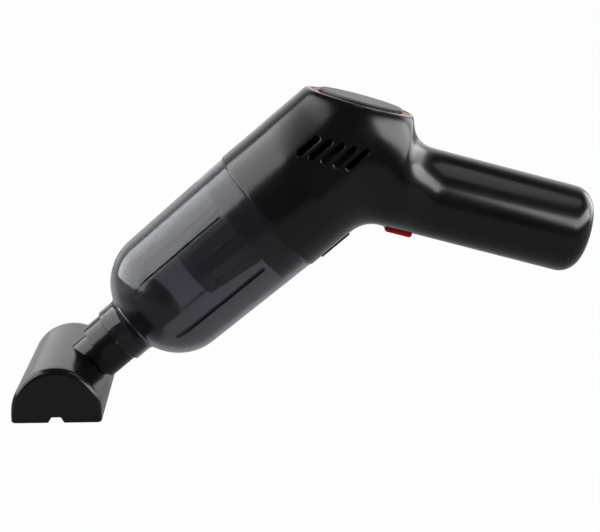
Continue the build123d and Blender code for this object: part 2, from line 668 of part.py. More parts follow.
def make_filter_frame():
    frame = turned((FILTER_BASE_RADIUS - FILTER_SHELL, flange_front), (FILTER_BASE_RADIUS, flange_front),
                   (FILTER_TIP_RADIUS, shell_front), (FILTER_TIP_RADIUS - FILTER_SHELL, shell_front))
    window = block((0, 2 * FILTER_BASE_RADIUS), (-FILTER_WINDOW_WIDTH / 2, FILTER_WINDOW_WIDTH / 2),
                   (shell_front + FILTER_WINDOW_MARGIN, flange_front - FILTER_WINDOW_MARGIN))
    for index in range(FILTER_WINDOWS):
        frame -= Rot(0, 0, (index + 0.5) * 360 / FILTER_WINDOWS) * window
    frame += tube(filter_radius, FILTER_BORE, flange_front, flange_back)
    for angle in lug_angles:
        frame += sector(lug_radius, filter_radius - 1, lug_front, lug_front + LUG_THICKNESS,
                        LUG_ANGLE, angle)
    return barrel * frame


def pleat_outline(station):
    """A star-shaped section of the pleated media."""
    peak = filter_radius_at(station) - FILTER_SHELL - 2 * SEAT_GAP
    corners = []
    for index in range(2 * PLEAT_COUNT):
        radius = peak if index % 2 == 0 else peak - PLEAT_DEPTH
        angle = index * pi / PLEAT_COUNT
        corners.append((radius * cos(angle), radius * sin(angle), station))
    return make_face(Polyline(*corners, close=True))


def make_filter_media():
    pleats = loft([pleat_outline(media_front), pleat_outline(media_back)], ruled=True)
    root_front = filter_radius_at(media_front) - FILTER_SHELL - PLEAT_DEPTH - MEDIA_WALL
    root_back = filter_radius_at(media_back) - FILTER_SHELL - PLEAT_DEPTH - MEDIA_WALL
    core = turned((0, media_front), (root_front, media_front), (root_back, media_back), (0, media_back))
    return barrel * (pleats - core)


def make_filter_cap():
    cap = rod(FILTER_TIP_RADIUS, filter_tip, shell_front)
    rim = cap.edges().filter_by(GeomType.CIRCLE).sort_by(Axis.Z)[0]
    cap = fillet(rim, FILTER_CAP_HEIGHT / 2)
    cap += rod(FILTER_TIP_RADIUS - FILTER_SHELL - 2 * SEAT_GAP, shell_front, shell_front + FILTER_CAP_PLUG)
    return barrel * cap


parts["filter_frame"] = make_filter_frame()
parts["filter_media"] = make_filter_media()
parts["filter_cap"] = make_filter_cap()
parts["filter_seal"] = barrel * tube(FILTER_BORE + SLIDE_GAP + FILTER_SEAL_WIDTH, FILTER_BORE + SLIDE_GAP,
                                     flange_back, flange_back + FILTER_SEAL_HEIGHT)


# Housing: a barrel and a handle joined by an elbow with a flat top

elbow_cos = cos(radians(ELBOW_ANGLE))
elbow_sin = sin(radians(ELBOW_ANGLE))
fan_above = -(HANDLE_RADIUS + ELBOW_RADIUS)
fan_along = (BARREL_RADIUS + ELBOW_RADIUS + fan_above * elbow_cos) / elbow_sin
barrel_straight_end = ELBOW + fan_along * elbow_cos + fan_above * elbow_sin
flat_front = (FLAT_HEIGHT - BARREL_RADIUS * elbow_cos) * elbow_cos / elbow_sin - BARREL_RADIUS * elbow_sin
flat_centre = flat_front + FLAT_SETBACK + FLAT_RADIUS
flat_edge = flat_centre - FLAT_RADIUS
flat_front_turn = ELBOW_ANGLE - degrees(atan2(fan_along - flat_edge, FLAT_HEIGHT - fan_above))
riser_rise = FLAT_HEIGHT - RISER_DROP - HANDLE_RADIUS
riser_start = fan_along + RISER_GAP
riser_foot = riser_start + sqrt(RISER_RADIUS**2 - (RISER_RADIUS - riser_rise)**2)
elbow_boss_under = -(BARREL_BORE + 2 * MOTOR_RADIUS) / 2 + BOSS_RADIUS
elbow_boss_along = BOSS_RADIUS * elbow_cos + elbow_boss_under * elbow_sin
elbow_boss_above = BOSS_RADIUS * elbow_sin - elbow_boss_under * elbow_cos
button_centre = fan_along + BUTTON_FROM_ELBOW
cell_start = riser_foot + CELL_FROM_RISER
cell_end = HANDLE_LENGTH - CELL_END_ROOM


def ease(share):
    """A smooth step from 0 to 1."""
    share = min(max(share, 0.0), 1.0)
    return share * share * (3 - 2 * share)


def oval(centre, direction, half_width, half_height):
    """An upright oval across the housing, with its width along Y."""
    section = Plane(origin=centre, x_dir=(0, 1, 0), z_dir=direction)
    if abs(half_width - half_height) < 0.001:
        return section * Circle(half_width)
    return section * Ellipse(half_width, half_height)


def elbow_section(turn, wall):
    """A section of the elbow, fanned about the arc under it."""
    angle = radians(ELBOW_ANGLE - turn)
    outward = Vector(0, 0, 0) - handle_under * cos(angle) - handle_axis * sin(angle)
    direction = handle_axis * cos(angle) - handle_under * sin(angle)
    straight_top = (ELBOW_RADIUS + 2 * BARREL_RADIUS) / cos(radians(turn))
    flat_top = (FLAT_HEIGHT - fan_above) / cos(angle)
    crown_end = ELBOW_ANGLE + CROWN_OVERRUN
    share = (turn - flat_front_turn) / (crown_end - flat_front_turn)
    arch = sin(pi * min(max(share, 0), 1))
    top = straight_top if turn < flat_front_turn else flat_top + CROWN_HEIGHT * arch
    half_width = BARREL_RADIUS + (SHOULDER_WIDTH - BARREL_RADIUS) * ease(turn / ELBOW_ANGLE)
    centre = handle_place(fan_along, fan_above) + outward * ((ELBOW_RADIUS + top) / 2)
    return oval(centre, direction, half_width - wall, (top - ELBOW_RADIUS) / 2 - wall)


def riser_top(along):
    """Height of the concave slope behind the flat top."""
    reach = riser_foot - along
    return HANDLE_RADIUS + RISER_RADIUS - sqrt(RISER_RADIUS**2 - reach**2)


def riser_section(along, wall):
    """A section of the handle under the concave slope."""
    top = riser_top(along)
    share = ease((along - fan_along) / (riser_foot - fan_along))
    half_width = SHOULDER_WIDTH + (HANDLE_RADIUS - SHOULDER_WIDTH) * share
    centre = handle_place(along, (top - HANDLE_RADIUS) / 2)
    return oval(centre, handle_axis, half_width - wall, (top + HANDLE_RADIUS) / 2 - wall)


def make_housing_form(wall):
    """The closed form of the housing, drawn in by a wall."""
    barrel_start = SEAM - (1 if wall else 0)
    handle_end = HANDLE_LENGTH - wall
    sections = []
    for index in range(ELBOW_SECTIONS):
        sections.append(elbow_section(index * ELBOW_ANGLE / (ELBOW_SECTIONS - 1), wall))
    riser_step = (riser_foot - riser_start) / (RISER_SECTIONS - 1)
    for index in range(RISER_SECTIONS):
        sections.append(riser_section(riser_start + index * riser_step, wall))
    form = loft(sections)
    form += barrel * rod(BARREL_RADIUS - wall, barrel_start, barrel_straight_end)
    grip = rod(HANDLE_RADIUS - wall, riser_foot, handle_end)
    rim = grip.edges().filter_by(GeomType.CIRCLE).sort_by(Axis.Z)[-1]
    form += handle * fillet(rim, HANDLE_END_ROUND - wall)
    lid = block((-REACH, -FLAT_HEIGHT + wall), (-REACH, REACH), (-REACH, REACH))
    return form - handle * lid


housing_outside = make_housing_form(0)
housing_inside = make_housing_form(HOUSING_WALL)
housing_bosses = [
    (elbow_boss_along, elbow_boss_above),
    (fan_along + RISER_BOSS_BEHIND, HANDLE_RADIUS - RISER_BOSS_DROP),
    (cell_start + BATTERY_BOSS_FRONT, -(HANDLE_BORE + CELL_RADIUS) / 2),
    (cell_end - BATTERY_BOSS_REAR, (HANDLE_BORE + CELL_RADIUS) / 2),
]
latch_start = SEAM + LATCH_FROM_SEAM
latch_end = latch_start + LATCH_LENGTH
latch_inner = BARREL_RADIUS + LATCH_PROUD - LATCH_DEPTH
latch_flange_half = LATCH_WIDTH / 2 + LATCH_FLANGE_WIDTH
outlet_wall = FLAT_RADIUS - OUTLET_RADIUS
ring_top = FLAT_HEIGHT - OUTLET_RECESS
ring_bottom = ring_top - OUTLET_RING_HEIGHT
ledge_top = ring_bottom - SEAT_GAP
damper_end = MOTOR_END - DAMPER_FROM_CAP
damper_middle = damper_end - DAMPER_LENGTH / 2
damper_radius = MOTOR_RADIUS + SEAT_GAP + DAMPER_WALL
socket_gap = 2 * SEAT_GAP


def outlet(shape):
    """Place a piece on the outlet's axis, with its z as the height above the handle axis."""
    return handle * Pos(0, 0, flat_centre) * Rot(0, -90, 0) * shape


def make_housing_inner_rings():
    """The lip, the fan seat, the outlet ledge and the motor saddle, before the halves are parted."""
    bore = BARREL_BORE + HOUSING_WALL / 2
    fan_back = FAN_FRONT + FAN_PLATE + SEAT_GAP
    rings = barrel * tube(bore, BARREL_BORE - FRONT_LIP_DEPTH, SEAM, SEAM + FRONT_LIP)
    seat = tube(bore, BARREL_BORE - FAN_SEAT_DEPTH, fan_back, fan_back + FAN_SEAT_THICKNESS)
    seat -= block((0, bore), (-latch_flange_half - SLIDE_GAP, latch_flange_half + SLIDE_GAP),
                  (fan_back - 1, fan_back + FAN_SEAT_THICKNESS + 1))
    rings += barrel * seat
    ledge_bottom = ledge_top - OUTLET_LEDGE_HEIGHT
    ledge = tube(OUTLET_RADIUS + outlet_wall, OUTLET_RADIUS, ledge_bottom, FLAT_HEIGHT - HOUSING_WALL / 2)
    ledge += tube(OUTLET_RADIUS + outlet_wall, OUTLET_RADIUS - OUTLET_LEDGE, ledge_bottom, ledge_top)
    rings += outlet(ledge)
    half = MOTOR_SADDLE_THICKNESS / 2
    saddle = block((-MOTOR_SADDLE_SPAN / 2, MOTOR_SADDLE_SPAN / 2), (-REACH, REACH),
                   (damper_middle - half, damper_middle + half))
    saddle -= rod(damper_radius + SEAT_GAP, damper_middle - half - 1, damper_middle + half + 1)
    rings += barrel * saddle
    return rings & housing_outside


def make_vents():
    """Slanted slots through both sides of the elbow."""
    slots = []
    for index in range(VENT_COUNT):
        along = VENT_CENTRE + (index - (VENT_COUNT - 1) / 2) * VENT_PITCH
        slot = Rot(0, 0, 90) * SlotOverall(VENT_LENGTH, VENT_WIDTH)
        section = Plane(origin=handle_place(along, VENT_HEIGHT), x_dir=barrel_under * -1, z_dir=(0, -1, 0))
        slots.append(extrude(section * slot, REACH, both=True))
    return slots


def make_housing_shell():
    """The whole shell with its openings, before it is parted."""
    shell = housing_outside - housing_inside
    shell -= make_vents()
    shell += make_housing_inner_rings()
    shell -= outlet(rod(OUTLET_RADIUS, ledge_top, FLAT_HEIGHT + 1))
    shell -= barrel * latch_channel
    shell -= barrel * block((latch_inner - HOUSING_WALL, 2 * BARREL_RADIUS),
                            (-LATCH_WIDTH / 2 - SLIDE_GAP, LATCH_WIDTH / 2 + SLIDE_GAP),
                            (latch_start - SLIDE_GAP, latch_end + SLIDE_GAP))
    half_length = BUTTON_LENGTH / 2 + SLIDE_GAP
    half_width = BUTTON_WIDTH / 2 + SLIDE_GAP
    shell -= handle * block((HANDLE_BORE - 2 * HOUSING_WALL, 2 * HANDLE_RADIUS), (-half_width, half_width),
                            (button_centre - half_length, button_centre + half_length))
    shell -= handle * block((-SOCKET_HEIGHT / 2 - socket_gap, SOCKET_HEIGHT / 2 + socket_gap),
                            (-SOCKET_WIDTH / 2 - socket_gap, SOCKET_WIDTH / 2 + socket_gap),
                            (HANDLE_LENGTH - 2 * HOUSING_WALL, HANDLE_LENGTH + 1))
    return shell


def boss_place(along, above):
    """A frame on a boss, with local y across the housing."""
    return handle * Pos(-above, 0, along)


housing_shell = make_housing_shell()


def make_housing_half(side):
    """One half of the housing: side is -1 for the left and +1 for the right."""
    y_range = sorted((0, side * REACH))
    half = housing_shell & block((-REACH, REACH), y_range, (-REACH, REACH))
    for place in housing_bosses:
        frame = boss_place(*place)
        half += frame * across(BOSS_RADIUS, *y_range) & housing_outside
        half -= frame * across(SCREW_RADIUS + SEAT_GAP / 2, BOSS_FLOOR - SCREW_LENGTH - 1, BOSS_FLOOR + 1)
        if side > 0:
            half -= frame * across(SCREW_HEAD_RADIUS + SEAT_GAP, BOSS_FLOOR, REACH)
    return half


def make_housing_screws():
    screws = []
    for place in housing_bosses:
        screw = across(SCREW_RADIUS, BOSS_FLOOR - SCREW_LENGTH, BOSS_FLOOR)
        screw += across(SCREW_HEAD_RADIUS, BOSS_FLOOR, BOSS_FLOOR + SCREW_HEAD_HEIGHT)
        top = BOSS_FLOOR + SCREW_HEAD_HEIGHT
        screw -= block((-SCREW_SLOT_WIDTH / 2, SCREW_SLOT_WIDTH / 2), (top - SCREW_SLOT_DEPTH, top + 1),
                       (-SCREW_HEAD_RADIUS, SCREW_HEAD_RADIUS))
        screws.append(boss_place(*place) * screw)
    return screws


parts["housing_left"] = make_housing_half(-1)
parts["housing_right"] = make_housing_half(1)
parts["housing_screws"] = make_housing_screws()


# Exhaust outlet: a spoked ring in the flat top and the disc that stands on it

def make_exhaust_ring():
    outer = OUTLET_RADIUS - SEAT_GAP
    ring = tube(outer, outer - OUTLET_RING_WIDTH, ring_bottom, ring_top)
    ring += rod(OUTLET_HUB_RADIUS, ring_bottom, FLAT_HEIGHT + DISC_RISE - DISC_THICKNESS)
    for index in range(OUTLET_SPOKES):
        spoke = block((0, outer - OUTLET_RING_WIDTH / 2), (-OUTLET_SPOKE_WIDTH / 2, OUTLET_SPOKE_WIDTH / 2),
                      (ring_bottom, ring_top))
        ring += Rot(0, 0, (index + 0.5) * 360 / OUTLET_SPOKES) * spoke
    return outlet(ring)


def make_exhaust_disc():
    disc = rod(DISC_RADIUS, FLAT_HEIGHT + DISC_RISE - DISC_THICKNESS, FLAT_HEIGHT + DISC_RISE)
    rim = disc.edges().filter_by(GeomType.CIRCLE).sort_by(Axis.Z)[-1]
    return outlet(fillet(rim, DISC_EDGE_ROUND))


parts["exhaust_ring"] = make_exhaust_ring()
parts["exhaust_disc"] = make_exhaust_disc()


# Fan and motor on the barrel axis

def make_fan_housing():
    fan = tube(FLANGE_RADIUS, FAN_INLET_RADIUS, FAN_FRONT, FAN_FRONT + FAN_PLATE)
    fan += tube(FAN_CHAMBER_RADIUS, FAN_CHAMBER_RADIUS - FAN_CHAMBER_WALL, FAN_FRONT, CHAMBER_END)
    return barrel * (fan - latch_channel)


def make_motor_plate():
    plate = tube(FAN_CHAMBER_RADIUS, BEARING_RADIUS + SLIDE_GAP, MOTOR_PLATE_FRONT,
                 MOTOR_PLATE_FRONT + MOTOR_PLATE)
    slot_outer = FAN_CHAMBER_RADIUS - 2 * FAN_CHAMBER_WALL
    slot_inner = MOTOR_RADIUS + DIFFUSER_SLOT_MARGIN
    for index in range(DIFFUSER_SLOTS):
        plate -= sector(slot_outer, slot_inner, MOTOR_PLATE_FRONT - 1, MOTOR_FRONT + 1, DIFFUSER_SLOT_ANGLE,
                        index * 360 / DIFFUSER_SLOTS)
    hole = rod(SCREW_RADIUS + SEAT_GAP, MOTOR_PLATE_FRONT - 1, MOTOR_FRONT)
    for side in (-1, 1):
        plate -= Pos(0, side * MOTOR_SCREW_CIRCLE, 0) * hole
    return barrel * plate


def make_impeller():
    wheel = rod(IMPELLER_RADIUS, IMPELLER_BACK - IMPELLER_PLATE, IMPELLER_BACK)
    wheel += rod(IMPELLER_HUB_RADIUS, IMPELLER_FRONT, IMPELLER_BACK)
    root = IMPELLER_HUB_RADIUS - IMPELLER_BLADE_WALL / 2
    tip = IMPELLER_RADIUS - IMPELLER_BLADE_INSET
    sweep_back = radians(IMPELLER_BLADE_SWEEP)
    curve = ThreePointArc((root, 0), ((root + tip) / 2, IMPELLER_BLADE_BOW),
                          (tip * cos(sweep_back), -tip * sin(sweep_back)))
    blade = extrude(trace(curve, IMPELLER_BLADE_WALL), IMPELLER_HEIGHT - IMPELLER_PLATE / 2)
    for index in range(IMPELLER_BLADES):
        wheel += Pos(0, 0, IMPELLER_FRONT) * Rot(0, 0, index * 360 / IMPELLER_BLADES) * blade
    return barrel * (wheel - rod(SHAFT_RADIUS + SEAT_GAP / 2, IMPELLER_FRONT - 1, IMPELLER_BACK + 1))


def make_impeller_nut():
    nut_front = IMPELLER_FRONT - NUT_HEIGHT - SEAT_GAP
    nut = Pos(0, 0, nut_front) * extrude(RegularPolygon(NUT_RADIUS, 6), NUT_HEIGHT)
    return barrel * (nut - rod(SHAFT_RADIUS + SEAT_GAP / 2, nut_front - 1, IMPELLER_FRONT + 1))


def make_armature():
    middle = (MOTOR_FRONT + MOTOR_END) / 2
    start = middle - ARMATURE_LENGTH / 2
    core = tube(ARMATURE_RADIUS, SHAFT_RADIUS + SEAT_GAP / 2, start, start + ARMATURE_LENGTH)
    for index in range(ARMATURE_SLOTS):
        slot = block((ARMATURE_RADIUS / 2, ARMATURE_RADIUS + 1),
                     (-ARMATURE_SLOT_WIDTH / 2, ARMATURE_SLOT_WIDTH / 2),
                     (start - 1, start + ARMATURE_LENGTH + 1))
        core -= Rot(0, 0, index * 360 / ARMATURE_SLOTS) * slot
    return barrel * core


def make_motor_can():
    can = tube(MOTOR_RADIUS, MOTOR_RADIUS - MOTOR_WALL, MOTOR_FRONT, MOTOR_END)
    can += tube(MOTOR_RADIUS, BEARING_RADIUS + SEAT_GAP, MOTOR_FRONT, MOTOR_FRONT + 2 * MOTOR_WALL)
    hole = rod(SCREW_RADIUS + SEAT_GAP / 2, MOTOR_FRONT - 1, MOTOR_FRONT + 3 * MOTOR_WALL)
    for side in (-1, 1):
        can -= Pos(0, side * MOTOR_SCREW_CIRCLE, 0) * hole
    return barrel * can


def make_motor_screws():
    screws = []
    for side in (-1, 1):
        top = MOTOR_PLATE_FRONT - SEAT_GAP
        screw = rod(SCREW_RADIUS, top, MOTOR_FRONT + 2 * MOTOR_WALL)
        screw += rod(SCREW_HEAD_RADIUS, top - SCREW_HEAD_HEIGHT, top)
        screws.append(barrel * Pos(0, side * MOTOR_SCREW_CIRCLE, 0) * screw)
    return screws


def make_motor_cap():
    cap = tube(MOTOR_RADIUS, BEARING_RADIUS + SEAT_GAP, MOTOR_END + SEAT_GAP, MOTOR_TAIL)
    rim = cap.edges().filter_by(GeomType.CIRCLE).sort_by(Axis.Z)[-2:].sort_by(SortBy.RADIUS)[-1]
    return barrel * fillet(rim, MOTOR_WALL)


def make_magnets():
    middle = (MOTOR_FRONT + MOTOR_END) / 2
    half = ARMATURE_LENGTH / 2 + 1
    ring = tube(MOTOR_RADIUS - MOTOR_WALL - SEAT_GAP, ARMATURE_RADIUS + MAGNET_GAP, middle - half,
                middle + half)
    ring -= block((-MOTOR_RADIUS, MOTOR_RADIUS), (-MAGNET_SPLIT / 2, MAGNET_SPLIT / 2),
                  (middle - 2 * half, middle + 2 * half))
    return [barrel * magnet for magnet in ring.solids()]


def make_bearings():
    front = tube(BEARING_RADIUS, SHAFT_RADIUS + RUNNING_GAP, MOTOR_FRONT, MOTOR_FRONT + BEARING_LENGTH)
    rear = tube(BEARING_RADIUS, SHAFT_RADIUS + RUNNING_GAP, MOTOR_TAIL - BEARING_LENGTH, MOTOR_TAIL)
    return [barrel * front, barrel * rear]


parts["fan_housing"] = make_fan_housing()
parts["motor_plate"] = make_motor_plate()
parts["impeller"] = make_impeller()
parts["impeller_nut"] = make_impeller_nut()
parts["rotor_shaft"] = barrel * rod(SHAFT_RADIUS, IMPELLER_FRONT - NUT_HEIGHT - SHAFT_TIP,
                                    MOTOR_TAIL - SEAT_GAP)
parts["armature"] = make_armature()
parts["motor_can"] = make_motor_can()
parts["motor_cap"] = make_motor_cap()
parts["motor_magnets"] = make_magnets()
parts["motor_bearings"] = make_bearings()
parts["motor_screws"] = make_motor_screws()
parts["motor_damper"] = barrel * tube(damper_radius, MOTOR_RADIUS + SEAT_GAP, damper_end - DAMPER_LENGTH,
                                      damper_end)


# Release button with its tongue and spring

def make_release_button():
    face = BARREL_RADIUS + LATCH_PROUD
    cap = tube(face, latch_inner, latch_start, latch_end)
    cap &= block((0, 2 * face), (-LATCH_WIDTH / 2, LATCH_WIDTH / 2), (latch_start, latch_end))
    lip = tube(BARREL_BORE - SLIDE_GAP, latch_inner, latch_start, latch_end + LATCH_FLANGE)
    lip &= block((0, 2 * face), (-latch_flange_half, latch_flange_half),
                 (latch_start, latch_end + LATCH_FLANGE))
    tongue_end = latch_start + TONGUE_ROOT
    tongue = tube(tongue_outer, tongue_inner, SEAM - TONGUE_REACH, tongue_end)
    tongue &= block((0, 2 * face), (-TONGUE_WIDTH / 2, TONGUE_WIDTH / 2), (SEAM - TONGUE_REACH, tongue_end))
    tongue += block(sorted((tongue_inner, latch_inner + TONGUE_ROOT)), (-TONGUE_WIDTH / 2, TONGUE_WIDTH / 2),
                    (latch_start, tongue_end))
    return barrel * (cap + lip + tongue)


def make_release_spring():
    base = FAN_CHAMBER_RADIUS + SEAT_GAP
    spring = coil(LATCH_SPRING_RADIUS, LATCH_SPRING_WIRE, latch_inner - SEAT_GAP - base, LATCH_SPRING_TURNS)
    return barrel * Pos(base, 0, (latch_start + CHAMBER_END) / 2) * Rot(0, 90, 0) * spring


parts["release_button"] = make_release_button()
parts["release_spring"] = make_release_spring()


# Power button, its spring, the switch and the board

button_face = HANDLE_RADIUS + BUTTON_PROUD
button_inner = button_face - BUTTON_DEPTH
switch_face = button_inner - SWITCH_GAP
board_face = switch_face - SWITCH_HEIGHT
board_half = sqrt(HANDLE_BORE**2 - board_face**2) - 2 * SEAT_GAP
board_end = cell_start - CRADLE_END + CRADLE_POCKET - 1


def make_power_button():
    half_width = BUTTON_WIDTH / 2
    half_length = BUTTON_LENGTH / 2
    cap = block((button_inner, button_face), (-half_width, half_width), (-half_length, half_length))
    cap = fillet(cap.faces().sort_by(Axis.X)[-1].edges(), BUTTON_ROUND)
    lip_width = half_width + BUTTON_FLANGE
    lip_length = half_length + BUTTON_FLANGE
    lip_top = sqrt(HANDLE_BORE**2 - lip_width**2) - SLIDE_GAP
    cap += block((button_inner, lip_top), (-lip_width, lip_width), (-lip_length, lip_length))
    return handle * Pos(0, 0, button_centre) * cap


def make_switch_body():
    body = block((board_face, switch_face), (-SWITCH_WIDTH / 2, SWITCH_WIDTH / 2),
                 (-SWITCH_LENGTH / 2, SWITCH_LENGTH / 2))
    plunger = Cylinder(SWITCH_PLUNGER_RADIUS, SWITCH_PLUNGER)
    body += Pos(switch_face + SWITCH_PLUNGER / 2, 0, 0) * Rot(0, 90, 0) * plunger
    return handle * Pos(0, 0, button_centre) * body


def make_power_spring():
    spring = coil(BUTTON_SPRING_RADIUS, BUTTON_SPRING_WIRE, SWITCH_GAP - 2 * SEAT_GAP, BUTTON_SPRING_TURNS)
    return handle * Pos(switch_face + SEAT_GAP, 0, button_centre) * Rot(0, 90, 0) * spring


parts["power_button"] = make_power_button()
parts["power_spring"] = make_power_spring()
parts["switch_body"] = make_switch_body()
parts["main_board"] = handle * block((board_face - BOARD_THICKNESS, board_face), (-board_half, board_half),
                                     (board_end - BOARD_LENGTH, board_end))


# Battery cells, their cradle and tabs, the charging board and its socket

cradle_front = cell_start - CRADLE_END + CRADLE_POCKET
cradle_back = cell_end + CRADLE_END - CRADLE_POCKET
cell_room = CELL_RADIUS + SEAT_GAP


def make_battery_cells():
    cell = rod(CELL_RADIUS, cell_start, cell_end)
    return [handle * Pos(0, side * CELL_SPACING / 2, 0) * cell for side in (-1, 1)]


def make_battery_cradle():
    outer = HANDLE_BORE - 2 * SEAT_GAP
    cradle = rod(outer, cradle_front, cradle_front + CRADLE_END)
    cradle += rod(outer, cradle_back - CRADLE_END, cradle_back)
    for offset in (-CRADLE_STRIP_OFFSET, CRADLE_STRIP_OFFSET):
        low = offset - CRADLE_STRIP_HEIGHT / 2
        cradle += block((low, low + CRADLE_STRIP_HEIGHT), (-CRADLE_STRIP_WIDTH / 2, CRADLE_STRIP_WIDTH / 2),
                        (cradle_front, cradle_back))
    tab_room = TAB_THICKNESS + 2 * SEAT_GAP
    pocket = rod(cell_room, cell_start - tab_room, cell_end + tab_room)
    for side in (-1, 1):
        cradle -= Pos(0, side * CELL_SPACING / 2, 0) * pocket
    half = TAB_WIDTH / 2 + SEAT_GAP
    cradle -= block((-half, half), (-CELL_SPACING / 2, CELL_SPACING / 2), (cell_start, cell_end + tab_room))
    return handle * cradle


def make_battery_tabs():
    half = TAB_WIDTH / 2
    rear = cell_end + SEAT_GAP
    front = cell_start - SEAT_GAP - TAB_THICKNESS
    reach = CELL_SPACING / 2
    tabs = [block((-half, half), (-reach, reach), (rear, rear + TAB_THICKNESS))]
    for side in (-1, 1):
        middle = side * reach
        tabs.append(block((-half, half), (middle - half, middle + half), (front, front + TAB_THICKNESS)))
    return [handle * tab for tab in tabs]


charge_board_back = HANDLE_LENGTH - CHARGE_BOARD_FROM_END


def make_charging_socket():
    shell = block((-SOCKET_HEIGHT / 2, SOCKET_HEIGHT / 2), (-SOCKET_WIDTH / 2, SOCKET_WIDTH / 2),
                  (charge_board_back, HANDLE_LENGTH - SEAT_GAP))
    shell = fillet(shell.edges().filter_by(Axis.Z), (SOCKET_HEIGHT - SOCKET_FLAT) / 2)
    hollow = block((-SOCKET_HEIGHT / 2 + SOCKET_SHELL, SOCKET_HEIGHT / 2 - SOCKET_SHELL),
                   (-SOCKET_WIDTH / 2 + SOCKET_SHELL, SOCKET_WIDTH / 2 - SOCKET_SHELL),
                   (charge_board_back + 1, HANDLE_LENGTH + 1))
    hollow = fillet(hollow.edges().filter_by(Axis.Z), (SOCKET_HEIGHT - SOCKET_FLAT) / 2 - SOCKET_SHELL)
    tongue = block((-SOCKET_TONGUE / 2, SOCKET_TONGUE / 2), (-SOCKET_WIDTH / 3, SOCKET_WIDTH / 3),
                   (charge_board_back, HANDLE_LENGTH - SOCKET_TONGUE_SUNK))
    return handle * (shell - hollow + tongue)


parts["battery_cells"] = make_battery_cells()
parts["battery_cradle"] = make_battery_cradle()
parts["battery_tabs"] = make_battery_tabs()
parts["charging_board"] = handle * rod(CHARGE_BOARD_RADIUS, charge_board_back - BOARD_THICKNESS,
                                       charge_board_back)
parts["charging_socket"] = make_charging_socket()


# Leads from the motor and from the battery to the board

board_top = -(board_face - BOARD_THICKNESS)


def make_motor_leads():
    leads = []
    for side in (-1, 1):
        y = side * MOTOR_LEAD_OFFSET
        tail = barrel_place(MOTOR_TAIL, MOTOR_LEAD_OFFSET, y)
        landing = board_end - BOARD_LENGTH + MOTOR_LEAD_FROM_EDGE
        points = [tail, tail + barrel_axis * MOTOR_LEAD_RUN, handle_place(landing, MOTOR_LEAD_LEVEL, y),
                  handle_place(landing, board_top, y)]
        leads.append(lead(points))
    return leads


def make_battery_leads():
    leads = []
    for side in (-1, 1):
        y = side * BATTERY_LEAD_OFFSET
        landing = cradle_front - BATTERY_LEAD_RUN
        points = [handle_place(cradle_front, BATTERY_LEAD_LEVEL, y),
                  handle_place(landing, BATTERY_LEAD_LEVEL, y), handle_place(landing, board_top, y)]
        leads.append(lead(points))
    return leads


parts["motor_leads"] = make_motor_leads()
parts["battery_leads"] = make_battery_leads()


# One file for each piece or group of like pieces

os.makedirs("parts", exist_ok=True)
for name, shape in parts.items():
    solid = Compound(children=shape) if isinstance(shape, list) else shape
    export_step(solid, f"parts/{name}.step")
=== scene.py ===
"""Cordless handheld vacuum: moulded shells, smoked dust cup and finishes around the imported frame."""

import json
import math

import bmesh
import bpy
from bpy.props import FloatProperty, FloatVectorProperty, IntProperty, PointerProperty
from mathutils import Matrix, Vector
from mathutils.bvhtree import BVHTree


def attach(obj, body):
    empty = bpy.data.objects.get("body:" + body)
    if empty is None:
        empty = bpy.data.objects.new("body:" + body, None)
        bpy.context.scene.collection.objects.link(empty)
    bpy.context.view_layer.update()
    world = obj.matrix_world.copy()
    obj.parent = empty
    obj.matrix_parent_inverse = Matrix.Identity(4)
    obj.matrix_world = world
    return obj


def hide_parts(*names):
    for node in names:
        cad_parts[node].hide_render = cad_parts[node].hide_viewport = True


bl_info = {
    "name": "Handheld vacuum",
    "version": (1, 0, 0),
    "blender": (4, 5, 0),
    "location": "View3D > Sidebar > Vacuum",
    "description": "Dresses the packed frame of a handheld vacuum with moulded shells and finishes",
    "category": "Object",
}

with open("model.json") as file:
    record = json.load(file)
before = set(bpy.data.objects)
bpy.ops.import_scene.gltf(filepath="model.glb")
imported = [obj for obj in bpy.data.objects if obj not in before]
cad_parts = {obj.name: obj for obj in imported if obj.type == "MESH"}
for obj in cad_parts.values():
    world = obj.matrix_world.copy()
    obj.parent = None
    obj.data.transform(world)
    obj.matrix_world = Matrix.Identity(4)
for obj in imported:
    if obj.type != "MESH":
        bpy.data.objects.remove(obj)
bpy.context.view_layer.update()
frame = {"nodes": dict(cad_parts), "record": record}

MM = 0.001

# Layout of the two axes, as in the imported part
BARREL_TILT = math.radians(40)
HANDLE_TILT = math.radians(15)
ELBOW_ANGLE = BARREL_TILT + HANDLE_TILT
AIM_POINT = Vector((0, 0, 8.5 * MM))
BARREL_AXIS = Vector((math.cos(BARREL_TILT), 0, math.sin(BARREL_TILT)))
BARREL_UNDER = Vector((math.sin(BARREL_TILT), 0, -math.cos(BARREL_TILT)))
HANDLE_AXIS = Vector((math.cos(HANDLE_TILT), 0, -math.sin(HANDLE_TILT)))
HANDLE_UP = Vector((math.sin(HANDLE_TILT), 0, math.cos(HANDLE_TILT)))
SIDEWAYS = Vector((0, 1, 0))

# Stations along the barrel axis
NOSE_RIM = 35 * MM
SHOULDER = 71 * MM
RIB_START = 62 * MM
RIB_END = 116.5 * MM
SEAM = 133 * MM
ELBOW = 168.6 * MM
ELBOW_POINT = AIM_POINT + BARREL_AXIS * ELBOW

# The housing's elbow, its flat top, and the rise behind it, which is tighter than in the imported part
ELBOW_RADIUS = 16 * MM
ELBOW_MIDDLE = 53 * MM
RISER_RADIUS = 14 * MM
RISER_FOOT = 50.8 * MM
RISER_STEP = 0.6 * MM
FLAT_CENTRE = 9.9 * MM
FLAT_FRONT = -16.9 * MM
CROWN_HEIGHT = 24 * MM
CROWN_OVERRUN = math.radians(1.5)
SOFT_PASSES = 40

